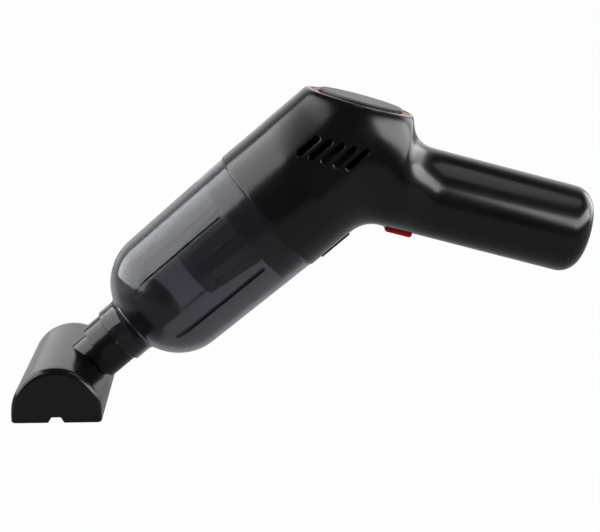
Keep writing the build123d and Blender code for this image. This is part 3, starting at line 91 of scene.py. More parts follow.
# The housing's edges: rows of inset and distance behind the seam, then the parting groove
SEAM_BEVEL = ((0.25 * MM, 0.0), (0.02 * MM, 0.46 * MM))
SEAM_EDGE = 0.5 * MM
GROOVE_DEPTH = 0.2 * MM
GROOVE_TURN = 0.012
HALF_GAP = 0.03 * MM
EDGE_ROUND = 0.4 * MM

# The outlet in the flat top
OUTLET_FLOOR = 28 * MM
OUTLET_CLEAR = 20 * MM
OUTLET_RECESS = 1.5 * MM
DISC_RADIUS = 20.7 * MM
DISC_RISE = 1.45 * MM
DISC_PLATE = 0.8 * MM
DISC_RIM = 0.25 * MM
DISC_CROWN = 3 * MM
DISC_OVERHANG = 0.7 * MM
TRIM_WIDTH = 3.6 * MM
TRIM_SUNK = 0.35 * MM
TRIM_GAP = 0.1 * MM
TRIM_SLOPE = 0.9 * MM
TRIM_BEVEL = 0.3 * MM
EDGE_DROP = 0.05 * MM
SEAT_GAP = 0.02 * MM
TURNED_STEPS = 128

# The vent slots and the screws
VENT_CENTRE = 0.6 * MM
VENT_HEIGHT = 10.6 * MM
VENT_LIP = 0.55 * MM
VENT_DEPTH = 8 * MM
VENT_CLEAR = 6 * MM
SCREW_PLACES = (
    (-20.24 * MM, 18.08 * MM),
    (38 * MM, 19.8 * MM),
    (70 * MM, -14.4 * MM),
    (116 * MM, 14.4 * MM),
)
SCREW_FLOOR = 5 * MM
SCREW_RECESS = 2.4 * MM
SCREW_BEVEL = 0.5 * MM
SCREW_CLEAR = 9 * MM
BEVEL_DEPTH = 0.6 * MM
BOSS_RADIUS = 3.2 * MM
BOSS_SUNK = 3 * MM

# Middles of the windows, then the levels they are cut between, half length, half width and corner radius
RELEASE_STATION = 148.25 * MM
TONGUE_STATION = 136 * MM
BUTTON_ALONG = 45 * MM
RELEASE_WINDOW = (26 * MM, 45 * MM, 9.05 * MM, 7.3 * MM, 0.9 * MM)
BUTTON_WINDOW = (12 * MM, 32 * MM, 7.15 * MM, 4.8 * MM, 0.9 * MM)
SOCKET_WINDOW = (128 * MM, 142 * MM, 4.7 * MM, 1.8 * MM, 1.7 * MM)
HOUSING_CHANNEL = (28 * MM, 33.9 * MM, 9 * MM, 3.3 * MM, 0.4 * MM)
CUP_SLOT = (28 * MM, 40 * MM, 9 * MM, 3.3 * MM, 0.4 * MM)

# The cup: its rims, the bore of its nose with the seat of the inlet duct, and its ribs
CUP_RIM = 0.4 * MM
NOSE_BORE = 13.85 * MM
DUCT_BORE = 11.6 * MM
DUCT_SEAT = 15.35 * MM
DUCT_FRONT = 51.5 * MM
DUCT_BACK = 53.5 * MM
RIB_PROUD = 0.03 * MM

# The cover of the head: the neck's hole, the gap over the sole and the inner edge
NECK_RADIUS = 11.56 * MM
NECK_START = 8 * MM
NECK_END = 50 * MM
COVER_GAP = 0.03 * MM
INNER_ROUND = 0.05 * MM

# The stage, in metres: each softbox has its place, its target, its width and its height
CAMERA_TURN = math.radians(2.39)
CAMERA_TILT = math.radians(12.44)
CAMERA_TARGET = Vector((118.18 * MM, 0, 65.81 * MM))
CAMERA_LENS = 90
CAMERA_SENSOR = 36
SOFTBOXES = {
    "key": ((-0.71, -0.045, 0.5), (0.08, 0, 0.08), 1.4, 0.85),
    "fill": ((0.993, -0.415, 0.4), (0.203, 0.085, 0.12), 1.5, 0.36),
    "top": ((0.55, -0.15, 0.95), (0.2, 0, 0.1), 0.6, 0.45),
    "back": ((1.15, 0.62, 0.36), (0.2, 0, 0.12), 0.8, 0.7),
}
FLOOR_SIDES = 4.0
FLOOR_NEAR = -0.32
FLOOR_FAR = 7.0
FLOOR_SUNK = 0.1 * MM
FLOOR_WHITE = 0.98
FLOOR_MIRRORED = 0.25
ROOM_LEVEL = 0.08
WALL_LEVEL = 1.3
WALL_FACING = (0.45, 1.0, 0.0)
WALL_EDGE = {"From Min": 0.2, "From Max": 0.75}
WALL_TOP = {"From Min": 0.75, "From Max": 0.45}

# Pattern sizes, of which the first four are about 0.1 mm or less in life and coarsened so that they show
GRAIN = 0.7 * MM
ETCHING = 1.1 * MM
TURNING_MARKS = 0.4 * MM
FIBRE = 0.8 * MM
GLOSS_DRIFT = 30 * MM
HAZE_DRIFT = 18 * MM

# Mesh making: where rays start outside the housing, the welding distance, a hair's breadth and a real edge
OUTSIDE = 200 * MM
WELD = 0.002 * MM
HAIR = 0.01 * MM
SHARP_EDGE = math.radians(32)


def srgb(code):
    """Linear colour of an sRGB hex value."""
    channels = [int(code[place:place + 2], 16) / 255 for place in (1, 3, 5)]
    return [c / 12.92 if c <= 0.04045 else ((c + 0.055) / 1.055) ** 2.4 for c in channels]


def size(label, text, value):
    """A length that a user may change."""
    return FloatProperty(name=label, description=text, default=value, unit="LENGTH", precision=4)


def colour(label, text, code):
    """A finish colour that a user may change."""
    return FloatVectorProperty(name=label, description=text, default=srgb(code), subtype="COLOR",
                               size=3, min=0, max=1)


def lamp_power(label, text, value):
    """A lamp's power that a user may change."""
    return FloatProperty(name=label, description=text, default=value, subtype="POWER")


class VacuumHousing(bpy.types.PropertyGroup):
    """Sizes of the barrel and the handle."""

    barrel_radius: size("Barrel radius", "Outside radius of the barrel", 34.5 * MM)
    handle_radius: size("Handle radius", "Outside radius of the handle", 21.8 * MM)
    handle_length: size("Handle length", "From the elbow to the handle's end", 136 * MM)
    end_round: size("Handle end", "Rounding of the handle's end", 10 * MM)
    wall: size("Wall", "Thickness of the shells", 2.2 * MM)
    shoulder: size("Shoulder", "Half width where the elbow ends", 28.5 * MM)
    waist_end: size("Waist", "From the elbow to where the handle reaches its own width", 56 * MM)
    flat_height: size("Flat height", "Height of the flat top above the handle's axis", 35.2 * MM)
    rim_round: size("Rim round", "Softness of the flat top's edge", 1.1 * MM)
    outlet_radius: size("Outlet radius", "Radius of the round outlet in the flat top", 25 * MM)
    vent_count: IntProperty(name="Vents", description="Slots on each side", default=5, min=1, max=8)
    vent_length: size("Vent length", "Length of one slot", 13.7 * MM)
    vent_width: size("Vent width", "Width of one slot", 3 * MM)
    vent_pitch: size("Vent pitch", "Spacing of the slots along the handle's axis", 6.05 * MM)


class VacuumCup(bpy.types.PropertyGroup):
    """Sizes of the dust cup."""

    mouth_radius: size("Mouth radius", "Outside radius at the seam", 34 * MM)
    wall: size("Wall", "Thickness of the cup", 2 * MM)
    dome_radius: size("Dome radius", "Radius of the rounded front", 27.3 * MM)
    nose_radius: size("Nose radius", "Outside radius of the nose tube", 15 * MM)
    nose_blend: size("Nose blend", "Fillet between the nose and the dome", 4.5 * MM)
    taper: FloatProperty(name="Taper", description="Draft of the wall", default=math.radians(1.27),
                         subtype="ANGLE")
    rib_count: IntProperty(name="Ribs", description="Ribs along the wall", default=6, min=0, max=12)
    rib_width: size("Rib width", "Width of one rib", 0.9 * MM)
    rib_height: size("Rib height", "How far a rib stands in from the wall", 0.2 * MM)


class VacuumHead(bpy.types.PropertyGroup):
    """Sizes of the floor head."""

    radius: size("Radius", "Radius of the half-round cover", 21.6 * MM)
    length: size("Length", "Length across the head", 90.7 * MM)
    wall: size("Wall", "Thickness of the cover", 2 * MM)
    edge_round: size("Edge round", "Rounding of the cover's end rims", 3 * MM)
    sole_height: size("Sole height", "Height of the sole under the cover", 5.1 * MM)


class VacuumFinish(bpy.types.PropertyGroup):
    """Colours of the finishes."""

    shell: colour("Shell", "Black ABS of the housing and the head", "#070708")
    inner: colour("Inner parts", "Matt black ABS inside", "#141415")
    smoke: colour("Cup", "Smoked clear plastic of the cup", "#7a7a80")
    button: colour("Button", "Red ABS of the power button", "#a00613")
    ring: colour("Ring", "Dull red ABS of the outlet's ring", "#6e3a37")
    disc: colour("Disc", "Grey plastic of the outlet's disc", "#3e3e3f")
    floor: colour("Floor", "Paper sweep under the vacuum", "#808080")


class VacuumStage(bpy.types.PropertyGroup):
    """Sizes and levels of the stage."""

    distance: size("Camera distance", "From the camera to the middle of the vacuum", 0.75)
    key: lamp_power("Key lamp", "Power of the softbox on the left", 32)
    fill: lamp_power("Fill lamp", "Power of the softbox on the right", 26)
    top: lamp_power("Top lamp", "Power of the softbox above", 2.2)
    back: lamp_power("Back lamp", "Power of the softbox behind", 7)


SETTINGS = {
    "vacuum_housing": VacuumHousing,
    "vacuum_cup": VacuumCup,
    "vacuum_head": VacuumHead,
    "vacuum_finish": VacuumFinish,
    "vacuum_stage": VacuumStage,
}


def add_node(tree, kind, links=None, inputs=None, **settings):
    """Add a node with its settings, socket values and links."""
    node = tree.nodes.new(kind)
    for key, value in settings.items():
        setattr(node, key, value)
    for key, value in (inputs or {}).items():
        node.inputs[key].default_value = value
    for key, source in (links or {}).items():
        tree.links.new(source, node.inputs[key])
    return node


def start_material(name):
    """An empty node material and its tree."""
    material = bpy.data.materials.new(name)
    material.use_nodes = True
    material.node_tree.nodes.clear()
    return material, material.node_tree


def opaque(values):
    """A colour socket's value."""
    return (*values, 1.0)


def grained_plastic(name, tint, roughness, grain, depth, level):
    """Injection-moulded plastic: fine spark-eroded grain, drifting gloss and a slightly uneven colour."""
    material, tree = start_material(name)
    place = add_node(tree, "ShaderNodeTexCoord")
    spot = {"Vector": place.outputs["Object"]}
    grit = add_node(tree, "ShaderNodeTexNoise", spot, {"Scale": 1 / grain, "Detail": 2.0, "Roughness": 0.6})
    drift = add_node(tree, "ShaderNodeTexNoise", spot,
                     {"Scale": 1 / GLOSS_DRIFT, "Detail": 3.0, "Roughness": 0.55})
    darker = opaque([0.8 * value for value in tint])
    lighter = opaque([min(1.2 * value, 1.0) for value in tint])
    shade = add_node(tree, "ShaderNodeMix", {"Factor": drift.outputs["Fac"]}, data_type="RGBA")
    for socket in shade.inputs:
        if socket.type == "RGBA":
            socket.default_value = darker if socket.name == "A" else lighter
    gloss = add_node(tree, "ShaderNodeMapRange", {"Value": drift.outputs["Fac"]},
                     {"From Min": 0.3, "From Max": 0.7,
                      "To Min": roughness - 0.03, "To Max": roughness + 0.03})
    relief = add_node(tree, "ShaderNodeBump", {"Height": grit.outputs["Fac"]},
                      {"Strength": 0.25, "Distance": depth})
    tone = [socket for socket in shade.outputs if socket.type == "RGBA"][0]
    shader = add_node(tree, "ShaderNodeBsdfPrincipled",
                      {"Base Color": tone, "Roughness": gloss.outputs["Result"],
                       "Normal": relief.outputs["Normal"]},
                      {"IOR": 1.53, "Specular IOR Level": level})
    add_node(tree, "ShaderNodeOutputMaterial", {"Surface": shader.outputs[0]})
    return material


def smoked_clear(name, tint, roughness, index):
    """Smoked styrene: a clear moulding with a grey dye and a faint haze from its polished but worn tool."""
    material, tree = start_material(name)
    place = add_node(tree, "ShaderNodeTexCoord")
    haze = add_node(tree, "ShaderNodeTexNoise", {"Vector": place.outputs["Object"]},
                    {"Scale": 1 / HAZE_DRIFT, "Detail": 4.0, "Roughness": 0.6})
    gloss = add_node(tree, "ShaderNodeMapRange", {"Value": haze.outputs["Fac"]},
                     {"From Min": 0.3, "From Max": 0.7,
                      "To Min": roughness - 0.03, "To Max": roughness + 0.03})
    shader = add_node(tree, "ShaderNodeBsdfPrincipled", {"Roughness": gloss.outputs["Result"]},
                      {"Base Color": opaque(tint), "IOR": index, "Transmission Weight": 0.985})
    add_node(tree, "ShaderNodeOutputMaterial", {"Surface": shader.outputs[0]})
    return material


def turned_steel(name, code, roughness, spacing):
    """Plain or plated steel: fine turning marks across the surface."""
    material, tree = start_material(name)
    place = add_node(tree, "ShaderNodeTexCoord")
    marks = add_node(tree, "ShaderNodeTexNoise", {"Vector": place.outputs["Object"]},
                     {"Scale": 1 / spacing, "Detail": 2.0})
    gloss = add_node(tree, "ShaderNodeMapRange", {"Value": marks.outputs["Fac"]},
                     {"To Min": roughness - 0.06, "To Max": roughness + 0.06})
    shader = add_node(tree, "ShaderNodeBsdfPrincipled", {"Roughness": gloss.outputs["Result"]},
                      {"Base Color": opaque(srgb(code)), "Metallic": 1.0})
    add_node(tree, "ShaderNodeOutputMaterial", {"Surface": shader.outputs[0]})
    return material


def pleated_felt(code):
    """Spun-bonded filter felt: soft and without shine, its fine fibres coarsened so that they show."""
    material, tree = start_material("spunbond_felt")
    place = add_node(tree, "ShaderNodeTexCoord")
    fibre = add_node(tree, "ShaderNodeTexNoise", {"Vector": place.outputs["Object"]},
                     {"Scale": 1 / FIBRE, "Detail": 5.0, "Roughness": 0.7})
    relief = add_node(tree, "ShaderNodeBump", {"Height": fibre.outputs["Fac"]},
                      {"Strength": 0.6, "Distance": 0.1 * MM})
    shader = add_node(tree, "ShaderNodeBsdfPrincipled", {"Normal": relief.outputs["Normal"]},
                      {"Base Color": opaque(srgb(code)), "Roughness": 0.95, "Sheen Weight": 0.2})
    add_node(tree, "ShaderNodeOutputMaterial", {"Surface": shader.outputs[0]})
    return material


FINISHES = {}


def make_finishes(paint):
    """All the materials, named for what they are."""
    # Satin black ABS: deep black with broad soft reflections
    FINISHES["black_abs"] = grained_plastic("satin_black_abs", paint.shell, 0.2, GRAIN, 0.01 * MM, 0.16)
    # Matt black ABS: from a rougher tool, dull black with hardly a highlight
    FINISHES["black_inner"] = grained_plastic("matt_black_abs", paint.inner, 0.55, GRAIN, 0.03 * MM, 0.3)
    # Charcoal ABS: matt, a step lighter than the black about it, so the filter stands out in the smoke
    FINISHES["charcoal_abs"] = grained_plastic("charcoal_abs", srgb("#59595c"), 0.5, GRAIN, 0.03 * MM, 0.3)
    # Smoked styrene: polished moulding, grey and glassy, with a pale streak and a dim view of the inside
    # Its index is below styrene's 1.59, because the two faces of the wall together would shine too much
    FINISHES["smoked_clear"] = smoked_clear("smoked_clear_styrene", paint.smoke, 0.15, 1.26)
    # The ribs carry painted shade: the cup's plastic darkened to nearly black, and with an index near 1
    # they hardly reflect, so each draws a dark line through the cup
    painted_shade_tint = [0.02 * value for value in paint.smoke]
    FINISHES["painted_shade_rib"] = smoked_clear("smoked_clear_rib", painted_shade_tint, 0.3, 1.05)
    # Gloss red ABS: a dark red that shows a clear highlight
    FINISHES["red_abs"] = grained_plastic("gloss_red_abs", paint.button, 0.25, GRAIN, 0.008 * MM, 0.12)
    # Satin red ABS: a dull brick red that greys out at a low angle
    FINISHES["rose_plastic"] = grained_plastic("satin_red_abs", paint.ring, 0.4, GRAIN, 0.01 * MM, 0.2)
    # Etched grey ABS: an even texture that turns pale at a low angle
    FINISHES["grey_disc"] = grained_plastic("etched_grey_abs", paint.disc, 0.5, ETCHING, 0.05 * MM, 0.2)
    # Black nitrile rubber: moulded, dull black and almost without shine
    FINISHES["rubber"] = grained_plastic("black_nitrile", srgb("#101010"), 0.75, GRAIN, 0.04 * MM, 0.2)
    # Spun-bonded felt: pale grey pleats that look dark through the smoke
    FINISHES["filter_cloth"] = pleated_felt("#97989d")
    # Plated steel: bright, with a slightly blurred reflection
    FINISHES["steel"] = turned_steel("plated_steel", "#b4b4b8", 0.32, TURNING_MARKS)
    # Phosphated steel: dark grey metal with a dull sheen
    FINISHES["dark_steel"] = turned_steel("phosphated_steel", "#2b2b2d", 0.5, TURNING_MARKS)
    # Black ferrite: dark and stony, barely like a metal
    FINISHES["magnet"] = turned_steel("black_ferrite", "#3a3a3e", 0.6, TURNING_MARKS)
    # Shrink wrap: a thin blue film, smooth and half glossy
    FINISHES["cell_wrap"] = grained_plastic("shrink_wrap", srgb("#2a5f92"), 0.35, GRAIN, 0.01 * MM, 0.5)
    # Nickel strip: bright metal with a warm tone
    FINISHES["nickel"] = turned_steel("nickel_strip", "#c9c3b4", 0.3, TURNING_MARKS)
    # Solder mask: dark green lacquer, smooth and half glossy
    FINISHES["board"] = grained_plastic("solder_mask", srgb("#12502c"), 0.35, GRAIN, 0.01 * MM, 0.5)
    # Wire insulation: dull red PVC with a soft sheen
    FINISHES["lead_wire"] = grained_plastic("wire_insulation", srgb("#8a1a1a"), 0.45, GRAIN, 0.01 * MM, 0.4)


def finish(slot):
    """The material of a slot. All of them are made when the first is asked for."""
    if not FINISHES:
        make_finishes(bpy.context.scene.vacuum_finish)
    return FINISHES[slot]


def finish_nodes(*names, slot=None):
    """Give the CAD nodes that stay the material of their own slot, or of another one."""
    own_slots = {row["node"]: row["material_slot"] for row in frame["record"]["subparts"]}
    for name in names:
        for place in frame["nodes"][name].material_slots:
            place.material = finish(slot or own_slots[name])


def on_barrel(station, under=0.0, side=0.0):
    """A point along the barrel axis, under it and to the side."""
    return AIM_POINT + BARREL_AXIS * station + BARREL_UNDER * under + SIDEWAYS * side


def on_handle(along, above=0.0, side=0.0):
    """A point along the handle from the elbow, above its axis and to the side."""
    return ELBOW_POINT + HANDLE_AXIS * along + HANDLE_UP * above + SIDEWAYS * side


def spread(start, end, count):
    """Evenly spaced values that include both ends."""
    return [start + (end - start) * index / (count - 1) for index in range(count)]


def ease(share):
    """A smooth step from 0 to 1."""
    share = min(max(share, 0.0), 1.0)
    return share * share * (3 - 2 * share)


def make_piece(name, points, faces, material=None):
    """A mesh object with outward normals, smooth except at real edges."""
    mesh = bpy.data.meshes.new(name)
    mesh.from_pydata(points, [], faces)
    piece = bpy.data.objects.new(name, mesh)
    bpy.context.scene.collection.objects.link(piece)
    clean(piece)
    if material:
        mesh.materials.append(material)
    return piece


def clean(piece):
    """Weld doubled points, turn the faces outward and set the smoothing."""
    shape = bmesh.new()
    shape.from_mesh(piece.data)
    bmesh.ops.remove_doubles(shape, verts=shape.verts, dist=WELD)
    bmesh.ops.dissolve_degenerate(shape, edges=shape.edges, dist=WELD)
    bmesh.ops.recalc_face_normals(shape, faces=shape.faces)
    shape.to_mesh(piece.data)
    shape.free()
    piece.data.shade_smooth()
    piece.data.set_sharp_from_angle(angle=SHARP_EDGE)


def bands(rows, columns, offset=0, closed=False):
    """Quads between rows of points that lie one after another."""
    faces = []
    for row in range(rows - 1):
        for column in range(columns if closed else columns - 1):
            after = (column + 1) % columns
            low = offset + row * columns
            high = low + columns
            faces.append((low + column, low + after, high + after, high + column))
    return faces


def turned(profile, place, steps, closed=True):
    """Points and faces of a profile of (radius, height) pairs turned about an axis."""
    points = []
    for step in range(steps):
        angle = 2 * math.pi * step / steps
        for radius, height in profile:
            points.append(place(radius * math.cos(angle), radius * math.sin(angle), height))
    count = len(profile)
    faces = []
    for step in range(steps):
        near = step * count
        far = (step + 1) % steps * count
        for index in range(count if closed else count - 1):
            after = (index + 1) % count
            faces.append((near + index, near + after, far + after, far + index))
    return points, faces


def about_barrel(x, y, z):
    """A point about the barrel axis: x to the underside, y sideways, z along."""
    return on_barrel(z, x, y)


def about_outlet(x, y, z):
    """A point about the outlet's axis, z as the height above the handle's axis."""
    return on_handle(FLAT_CENTRE + x, z, y)


def join(pieces):
    """Points and faces of several meshes in one list."""
    points = []
    faces = []
    for some_points, some_faces in pieces:
        start = len(points)
        points += list(some_points)
        faces += [tuple(start + index for index in face) for face in some_faces]
    return points, faces


def stack(rings):
    """A closed solid from rings of points, each with the same count, capped at both ends."""
    count = len(rings[0])
    points = [point for ring in rings for point in ring]
    faces = bands(len(rings), count, closed=True)
    faces.append(tuple(range(count)))
    faces.append(tuple(range(len(points) - count, len(points))))
    return points, faces


def rounded_outline(half_length, half_width, radius, offset=0.0, steps=6):
    """Corners of a rounded rectangle, grown outward by an offset."""
    outline = []
    for quarter, (across, along) in enumerate(((1, 1), (-1, 1), (-1, -1), (1, -1))):
        for step in range(steps + 1):
            angle = math.pi / 2 * (quarter + step / steps)
            outline.append((across * (half_length - radius) + (radius + offset) * math.cos(angle),
                            along * (half_width - radius) + (radius + offset) * math.sin(angle)))
    return outline


def cut_out(piece, solids):
    """Cut solids out of a piece and keep the result as its mesh."""
    tool = make_piece(piece.name + "_tool", *join(solids))
    step = piece.modifiers.new("cut", "BOOLEAN")
    step.operation = "DIFFERENCE"
    step.solver = "EXACT"
    step.object = tool
    bpy.context.view_layer.update()
    graph = bpy.context.evaluated_depsgraph_get()
    result = bpy.data.meshes.new_from_object(piece.evaluated_get(graph))
    piece.modifiers.clear()
    old = piece.data
    piece.data = result
    result.name = piece.name
    bpy.data.meshes.remove(old)
    spare = tool.data
    bpy.data.objects.remove(tool)
    bpy.data.meshes.remove(spare)
    if not result.polygons:
        raise RuntimeError(f"{piece.name}: the cut left nothing")
    clean(piece)


def settle(piece, body, slot, *nodes):
    """Put a piece on its body and let it stand for its CAD nodes."""
    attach(piece, body)
    if nodes:
        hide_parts(*nodes)


def elbow_frame(shape):
    """The point under the elbow that its sections fan out from, as along and above values."""
    above = -(shape.handle_radius + ELBOW_RADIUS)
    along = (shape.barrel_radius + ELBOW_RADIUS + above * math.cos(ELBOW_ANGLE)) / math.sin(ELBOW_ANGLE)
    return along, above


def soften(values):
    """Even out a run of values and keep its two ends."""
    for _ in range(SOFT_PASSES):
        values[1:-1] = [(before + 2 * here + after) / 4
                        for before, here, after in zip(values, values[1:], values[2:])]


def waist_width(shape, run):
    """Half width of the housing at a run along its middle line from the start of the elbow."""
    elbow_run = ELBOW_MIDDLE * ELBOW_ANGLE
    if run < elbow_run:
        return shape.barrel_radius + (shape.shoulder - shape.barrel_radius) * run / elbow_run
    waist_run = shape.waist_end - elbow_frame(shape)[0]
    share = min((run - elbow_run) / waist_run, 1.0)
    return shape.shoulder + (shape.handle_radius - shape.shoulder) * ease(share)


def housing_sections(shape, wall):
    """Ovals from the seam to the handle's end: centre, up direction, half height and half width."""
    barrel = shape.barrel_radius - wall
    grip = shape.handle_radius - wall
    fan_along, fan_above = elbow_frame(shape)
    straight_end = ELBOW + fan_along * math.cos(ELBOW_ANGLE) + fan_above * math.sin(ELBOW_ANGLE)
    sections = []
    if not wall:
        for inset, behind in SEAM_BEVEL:
            sections.append((on_barrel(SEAM + behind), -BARREL_UNDER, barrel - inset, barrel - inset))
    for station in spread(SEAM + (0 if wall else SEAM_EDGE), straight_end, 18)[:-1]:
        sections.append((on_barrel(station), -BARREL_UNDER, barrel, barrel))
    rise = shape.flat_height - fan_above
    flat_turn = ELBOW_ANGLE - math.atan2(fan_along - FLAT_FRONT, rise)
    tops = []
    widths = []
    places = []
    for turn in spread(0, ELBOW_ANGLE, 64):
        angle = ELBOW_ANGLE - turn
        straight_top = (ELBOW_RADIUS + 2 * shape.barrel_radius) / math.cos(turn)
        share = (turn - flat_turn) / (ELBOW_ANGLE + CROWN_OVERRUN - flat_turn)
        crown = CROWN_HEIGHT * math.sin(math.pi * min(max(share, 0), 1))
        tops.append(straight_top if turn < flat_turn else rise / math.cos(angle) + crown)
        widths.append(waist_width(shape, ELBOW_MIDDLE * turn))
        outward = HANDLE_UP * math.cos(angle) - HANDLE_AXIS * math.sin(angle)
        places.append((on_handle(fan_along, fan_above) + outward * ELBOW_RADIUS, outward, ELBOW_RADIUS))
    riser_start = fan_along + RISER_STEP
    for along in spread(riser_start, shape.waist_end, 52):
        reach = min(max(RISER_FOOT - along, 0.0), RISER_RADIUS)
        top = shape.handle_radius + RISER_RADIUS - math.sqrt(RISER_RADIUS ** 2 - reach ** 2)
        tops.append(top - fan_above)
        widths.append(waist_width(shape, ELBOW_MIDDLE * ELBOW_ANGLE + along - fan_along))
        places.append((on_handle(along, -shape.handle_radius), HANDLE_UP, ELBOW_RADIUS))
    soften(tops)
    soften(widths)
    for top, width, (foot, outward, below) in zip(tops, widths, places):
        half_height = (top - below) / 2
        sections.append((foot + outward * half_height, outward, half_height - wall, width - wall))
    last = shape.handle_length - wall
    round_radius = shape.end_round - wall
    for along in spread(shape.waist_end, last - round_radius, 22)[1:]:
        sections.append((on_handle(along), HANDLE_UP, grip, grip))
    for angle in spread(0, math.pi / 2, 14)[1:]:
        radius = grip - round_radius + round_radius * math.cos(angle)
        along = last - round_radius + round_radius * math.sin(angle)
        sections.append((on_handle(along), HANDLE_UP, radius, radius))
    for share in (0.75, 0.5, 0.25, 0.02):
        radius = (grip - round_radius) * share
        sections.append((on_handle(last), HANDLE_UP, radius, radius))
    return sections


def flatten(point, limit, softness):
    """Hold a point under the flat top, with a rounded rim."""
    above = (point - ELBOW_POINT).dot(HANDLE_UP)
    room = limit - above
    kept = (room + math.sqrt(room * room + softness * softness)) / 2
    return point + HANDLE_UP * (room - kept)


def half_shell(shape, side):
    """Points and faces of one half of the housing, with its wall and a fine parting groove."""
    columns = 76
    turns = [0.0] + spread(GROOVE_TURN, math.pi - GROOVE_TURN, columns - 2) + [math.pi]
    points = []
    rows = []
    for wall in (0.0, shape.wall):
        sections = housing_sections(shape, wall)
        rows.append(len(sections))
        for centre, up, half_height, half_width in sections:
            for turn in turns:
                inset = GROOVE_DEPTH if turn in (0.0, math.pi) and not wall else 0.0
                spot = centre + up * ((half_height - min(inset, half_height)) * math.cos(turn))
                spot = flatten(spot, shape.flat_height - wall, shape.rim_round)
                spot = spot + SIDEWAYS * (side * max(half_width * math.sin(turn), HALF_GAP))
                points.append(spot)
    inner = rows[0] * columns
    faces = bands(rows[0], columns) + bands(rows[1], columns, inner)
    outer_last = (rows[0] - 1) * columns
    inner_last = inner + (rows[1] - 1) * columns
    for column in range(columns - 1):
        faces.append((column, column + 1, inner + column + 1, inner + column))
    faces.append(tuple(range(outer_last, outer_last + columns)))
    faces.append(tuple(range(inner_last, inner_last + columns)))
    faces.append((outer_last, outer_last + columns - 1, inner_last + columns - 1, inner_last))
    shared = min(rows)
    skip = rows[0] - shared
    for edge in (0, columns - 1):
        seam_points = [row * columns + edge for row in range(skip + 1)]
        faces.append(tuple(seam_points + [inner + edge]))
        for row in range(shared - 1):
            low = (row + skip) * columns + edge
            deep = inner + row * columns + edge
            faces.append((low, low + columns, deep + columns, deep))
    return points, faces


def vent_cutters(shape, side, tree):
    """Slots along the barrel with rounded lips that follow the surface."""
    levels = [(0.0, VENT_DEPTH)]
    for angle in spread(0, math.pi / 2, 6)[:-1]:
        levels.append((VENT_LIP * (1 - math.cos(angle)), VENT_LIP * (1 - math.sin(angle))))
    levels += [(VENT_LIP, -HAIR), (VENT_LIP, -VENT_CLEAR)]
    solids = []
    for index in range(shape.vent_count):
        along = VENT_CENTRE + (index - (shape.vent_count - 1) / 2) * shape.vent_pitch
        middle = on_handle(along, VENT_HEIGHT)
        rings = []
        for offset, depth in levels:
            ring = []
            for far, wide in rounded_outline(shape.vent_length / 2, shape.vent_width / 2,
                                             shape.vent_width / 2 - HAIR, offset):
                spot = middle + BARREL_AXIS * far + BARREL_UNDER * wide
                start = spot + SIDEWAYS * (side * OUTSIDE)
                hit = tree.ray_cast(start, SIDEWAYS * -side)[0]
                if hit is None:
                    raise RuntimeError("a vent slot lies beside the housing")
                ring.append(hit - SIDEWAYS * (side * depth))
            rings.append(ring)
        solids.append(stack(rings))
    return solids


def outlet_cutter(shape):
    """The round hole in the flat top, with a rounded edge."""
    flat = shape.flat_height
    hole = shape.outlet_radius
    mouth = hole + EDGE_ROUND
    over = flat + OUTLET_CLEAR
    bore = [(0.0, OUTLET_FLOOR), (hole, OUTLET_FLOOR), (hole, flat - EDGE_ROUND),
            (hole + 0.3 * EDGE_ROUND, flat - 0.3 * EDGE_ROUND), (mouth, flat), (mouth, over), (0.0, over)]
    return turned(bore, about_outlet, TURNED_STEPS, closed=False)


def box_cutter(place, low, high, half_length, half_width, radius):
    """A rounded window through a wall between two levels."""
    outline = rounded_outline(half_length, half_width, radius)
    return stack([[place(level, far, wide) for far, wide in outline] for level in (low, high)])


def barrel_window(level, far, wide):
    """A point under the barrel, about the middle of the release button."""
    return on_barrel(RELEASE_STATION + far, level, wide)


def tongue_window(level, far, wide):
    """A point in the channel of the release button's tongue."""
    return on_barrel(TONGUE_STATION + far, level, wide)


def handle_window(level, far, wide):
    """A point under the handle, about the middle of the power button."""
    return on_handle(BUTTON_ALONG + far, -level, wide)


def socket_window(level, far, wide):
    """A point at the handle's end, about the charging socket."""
    return on_handle(level, wide, far)


def screw_wells(tree):
    """Wells of the screws on the right side, and the tubes that line them."""
    wells = []
    tubes = []
    for along, above in SCREW_PLACES:
        top = tree.ray_cast(on_handle(along, above, OUTSIDE), -SIDEWAYS)[0].y

        def place(x, y, z, along=along, above=above):
            return on_handle(along + x, above + y, z)

        mouth = SCREW_RECESS + SCREW_BEVEL
        over = top + SCREW_CLEAR
        profile = [(0.0, SCREW_FLOOR), (SCREW_RECESS, SCREW_FLOOR), (SCREW_RECESS, top - BEVEL_DEPTH),
                   (mouth, top + SCREW_BEVEL), (mouth, over), (0.0, over)]
        wells.append(turned(profile, place, 32, closed=False))
        bore = SCREW_RECESS + SEAT_GAP
        lining = [(bore, SCREW_FLOOR), (BOSS_RADIUS, SCREW_FLOOR),
                  (BOSS_RADIUS, top - BOSS_SUNK), (bore, top - BOSS_SUNK)]
        tubes.append(turned(lining, place, 32))
    return wells, tubes


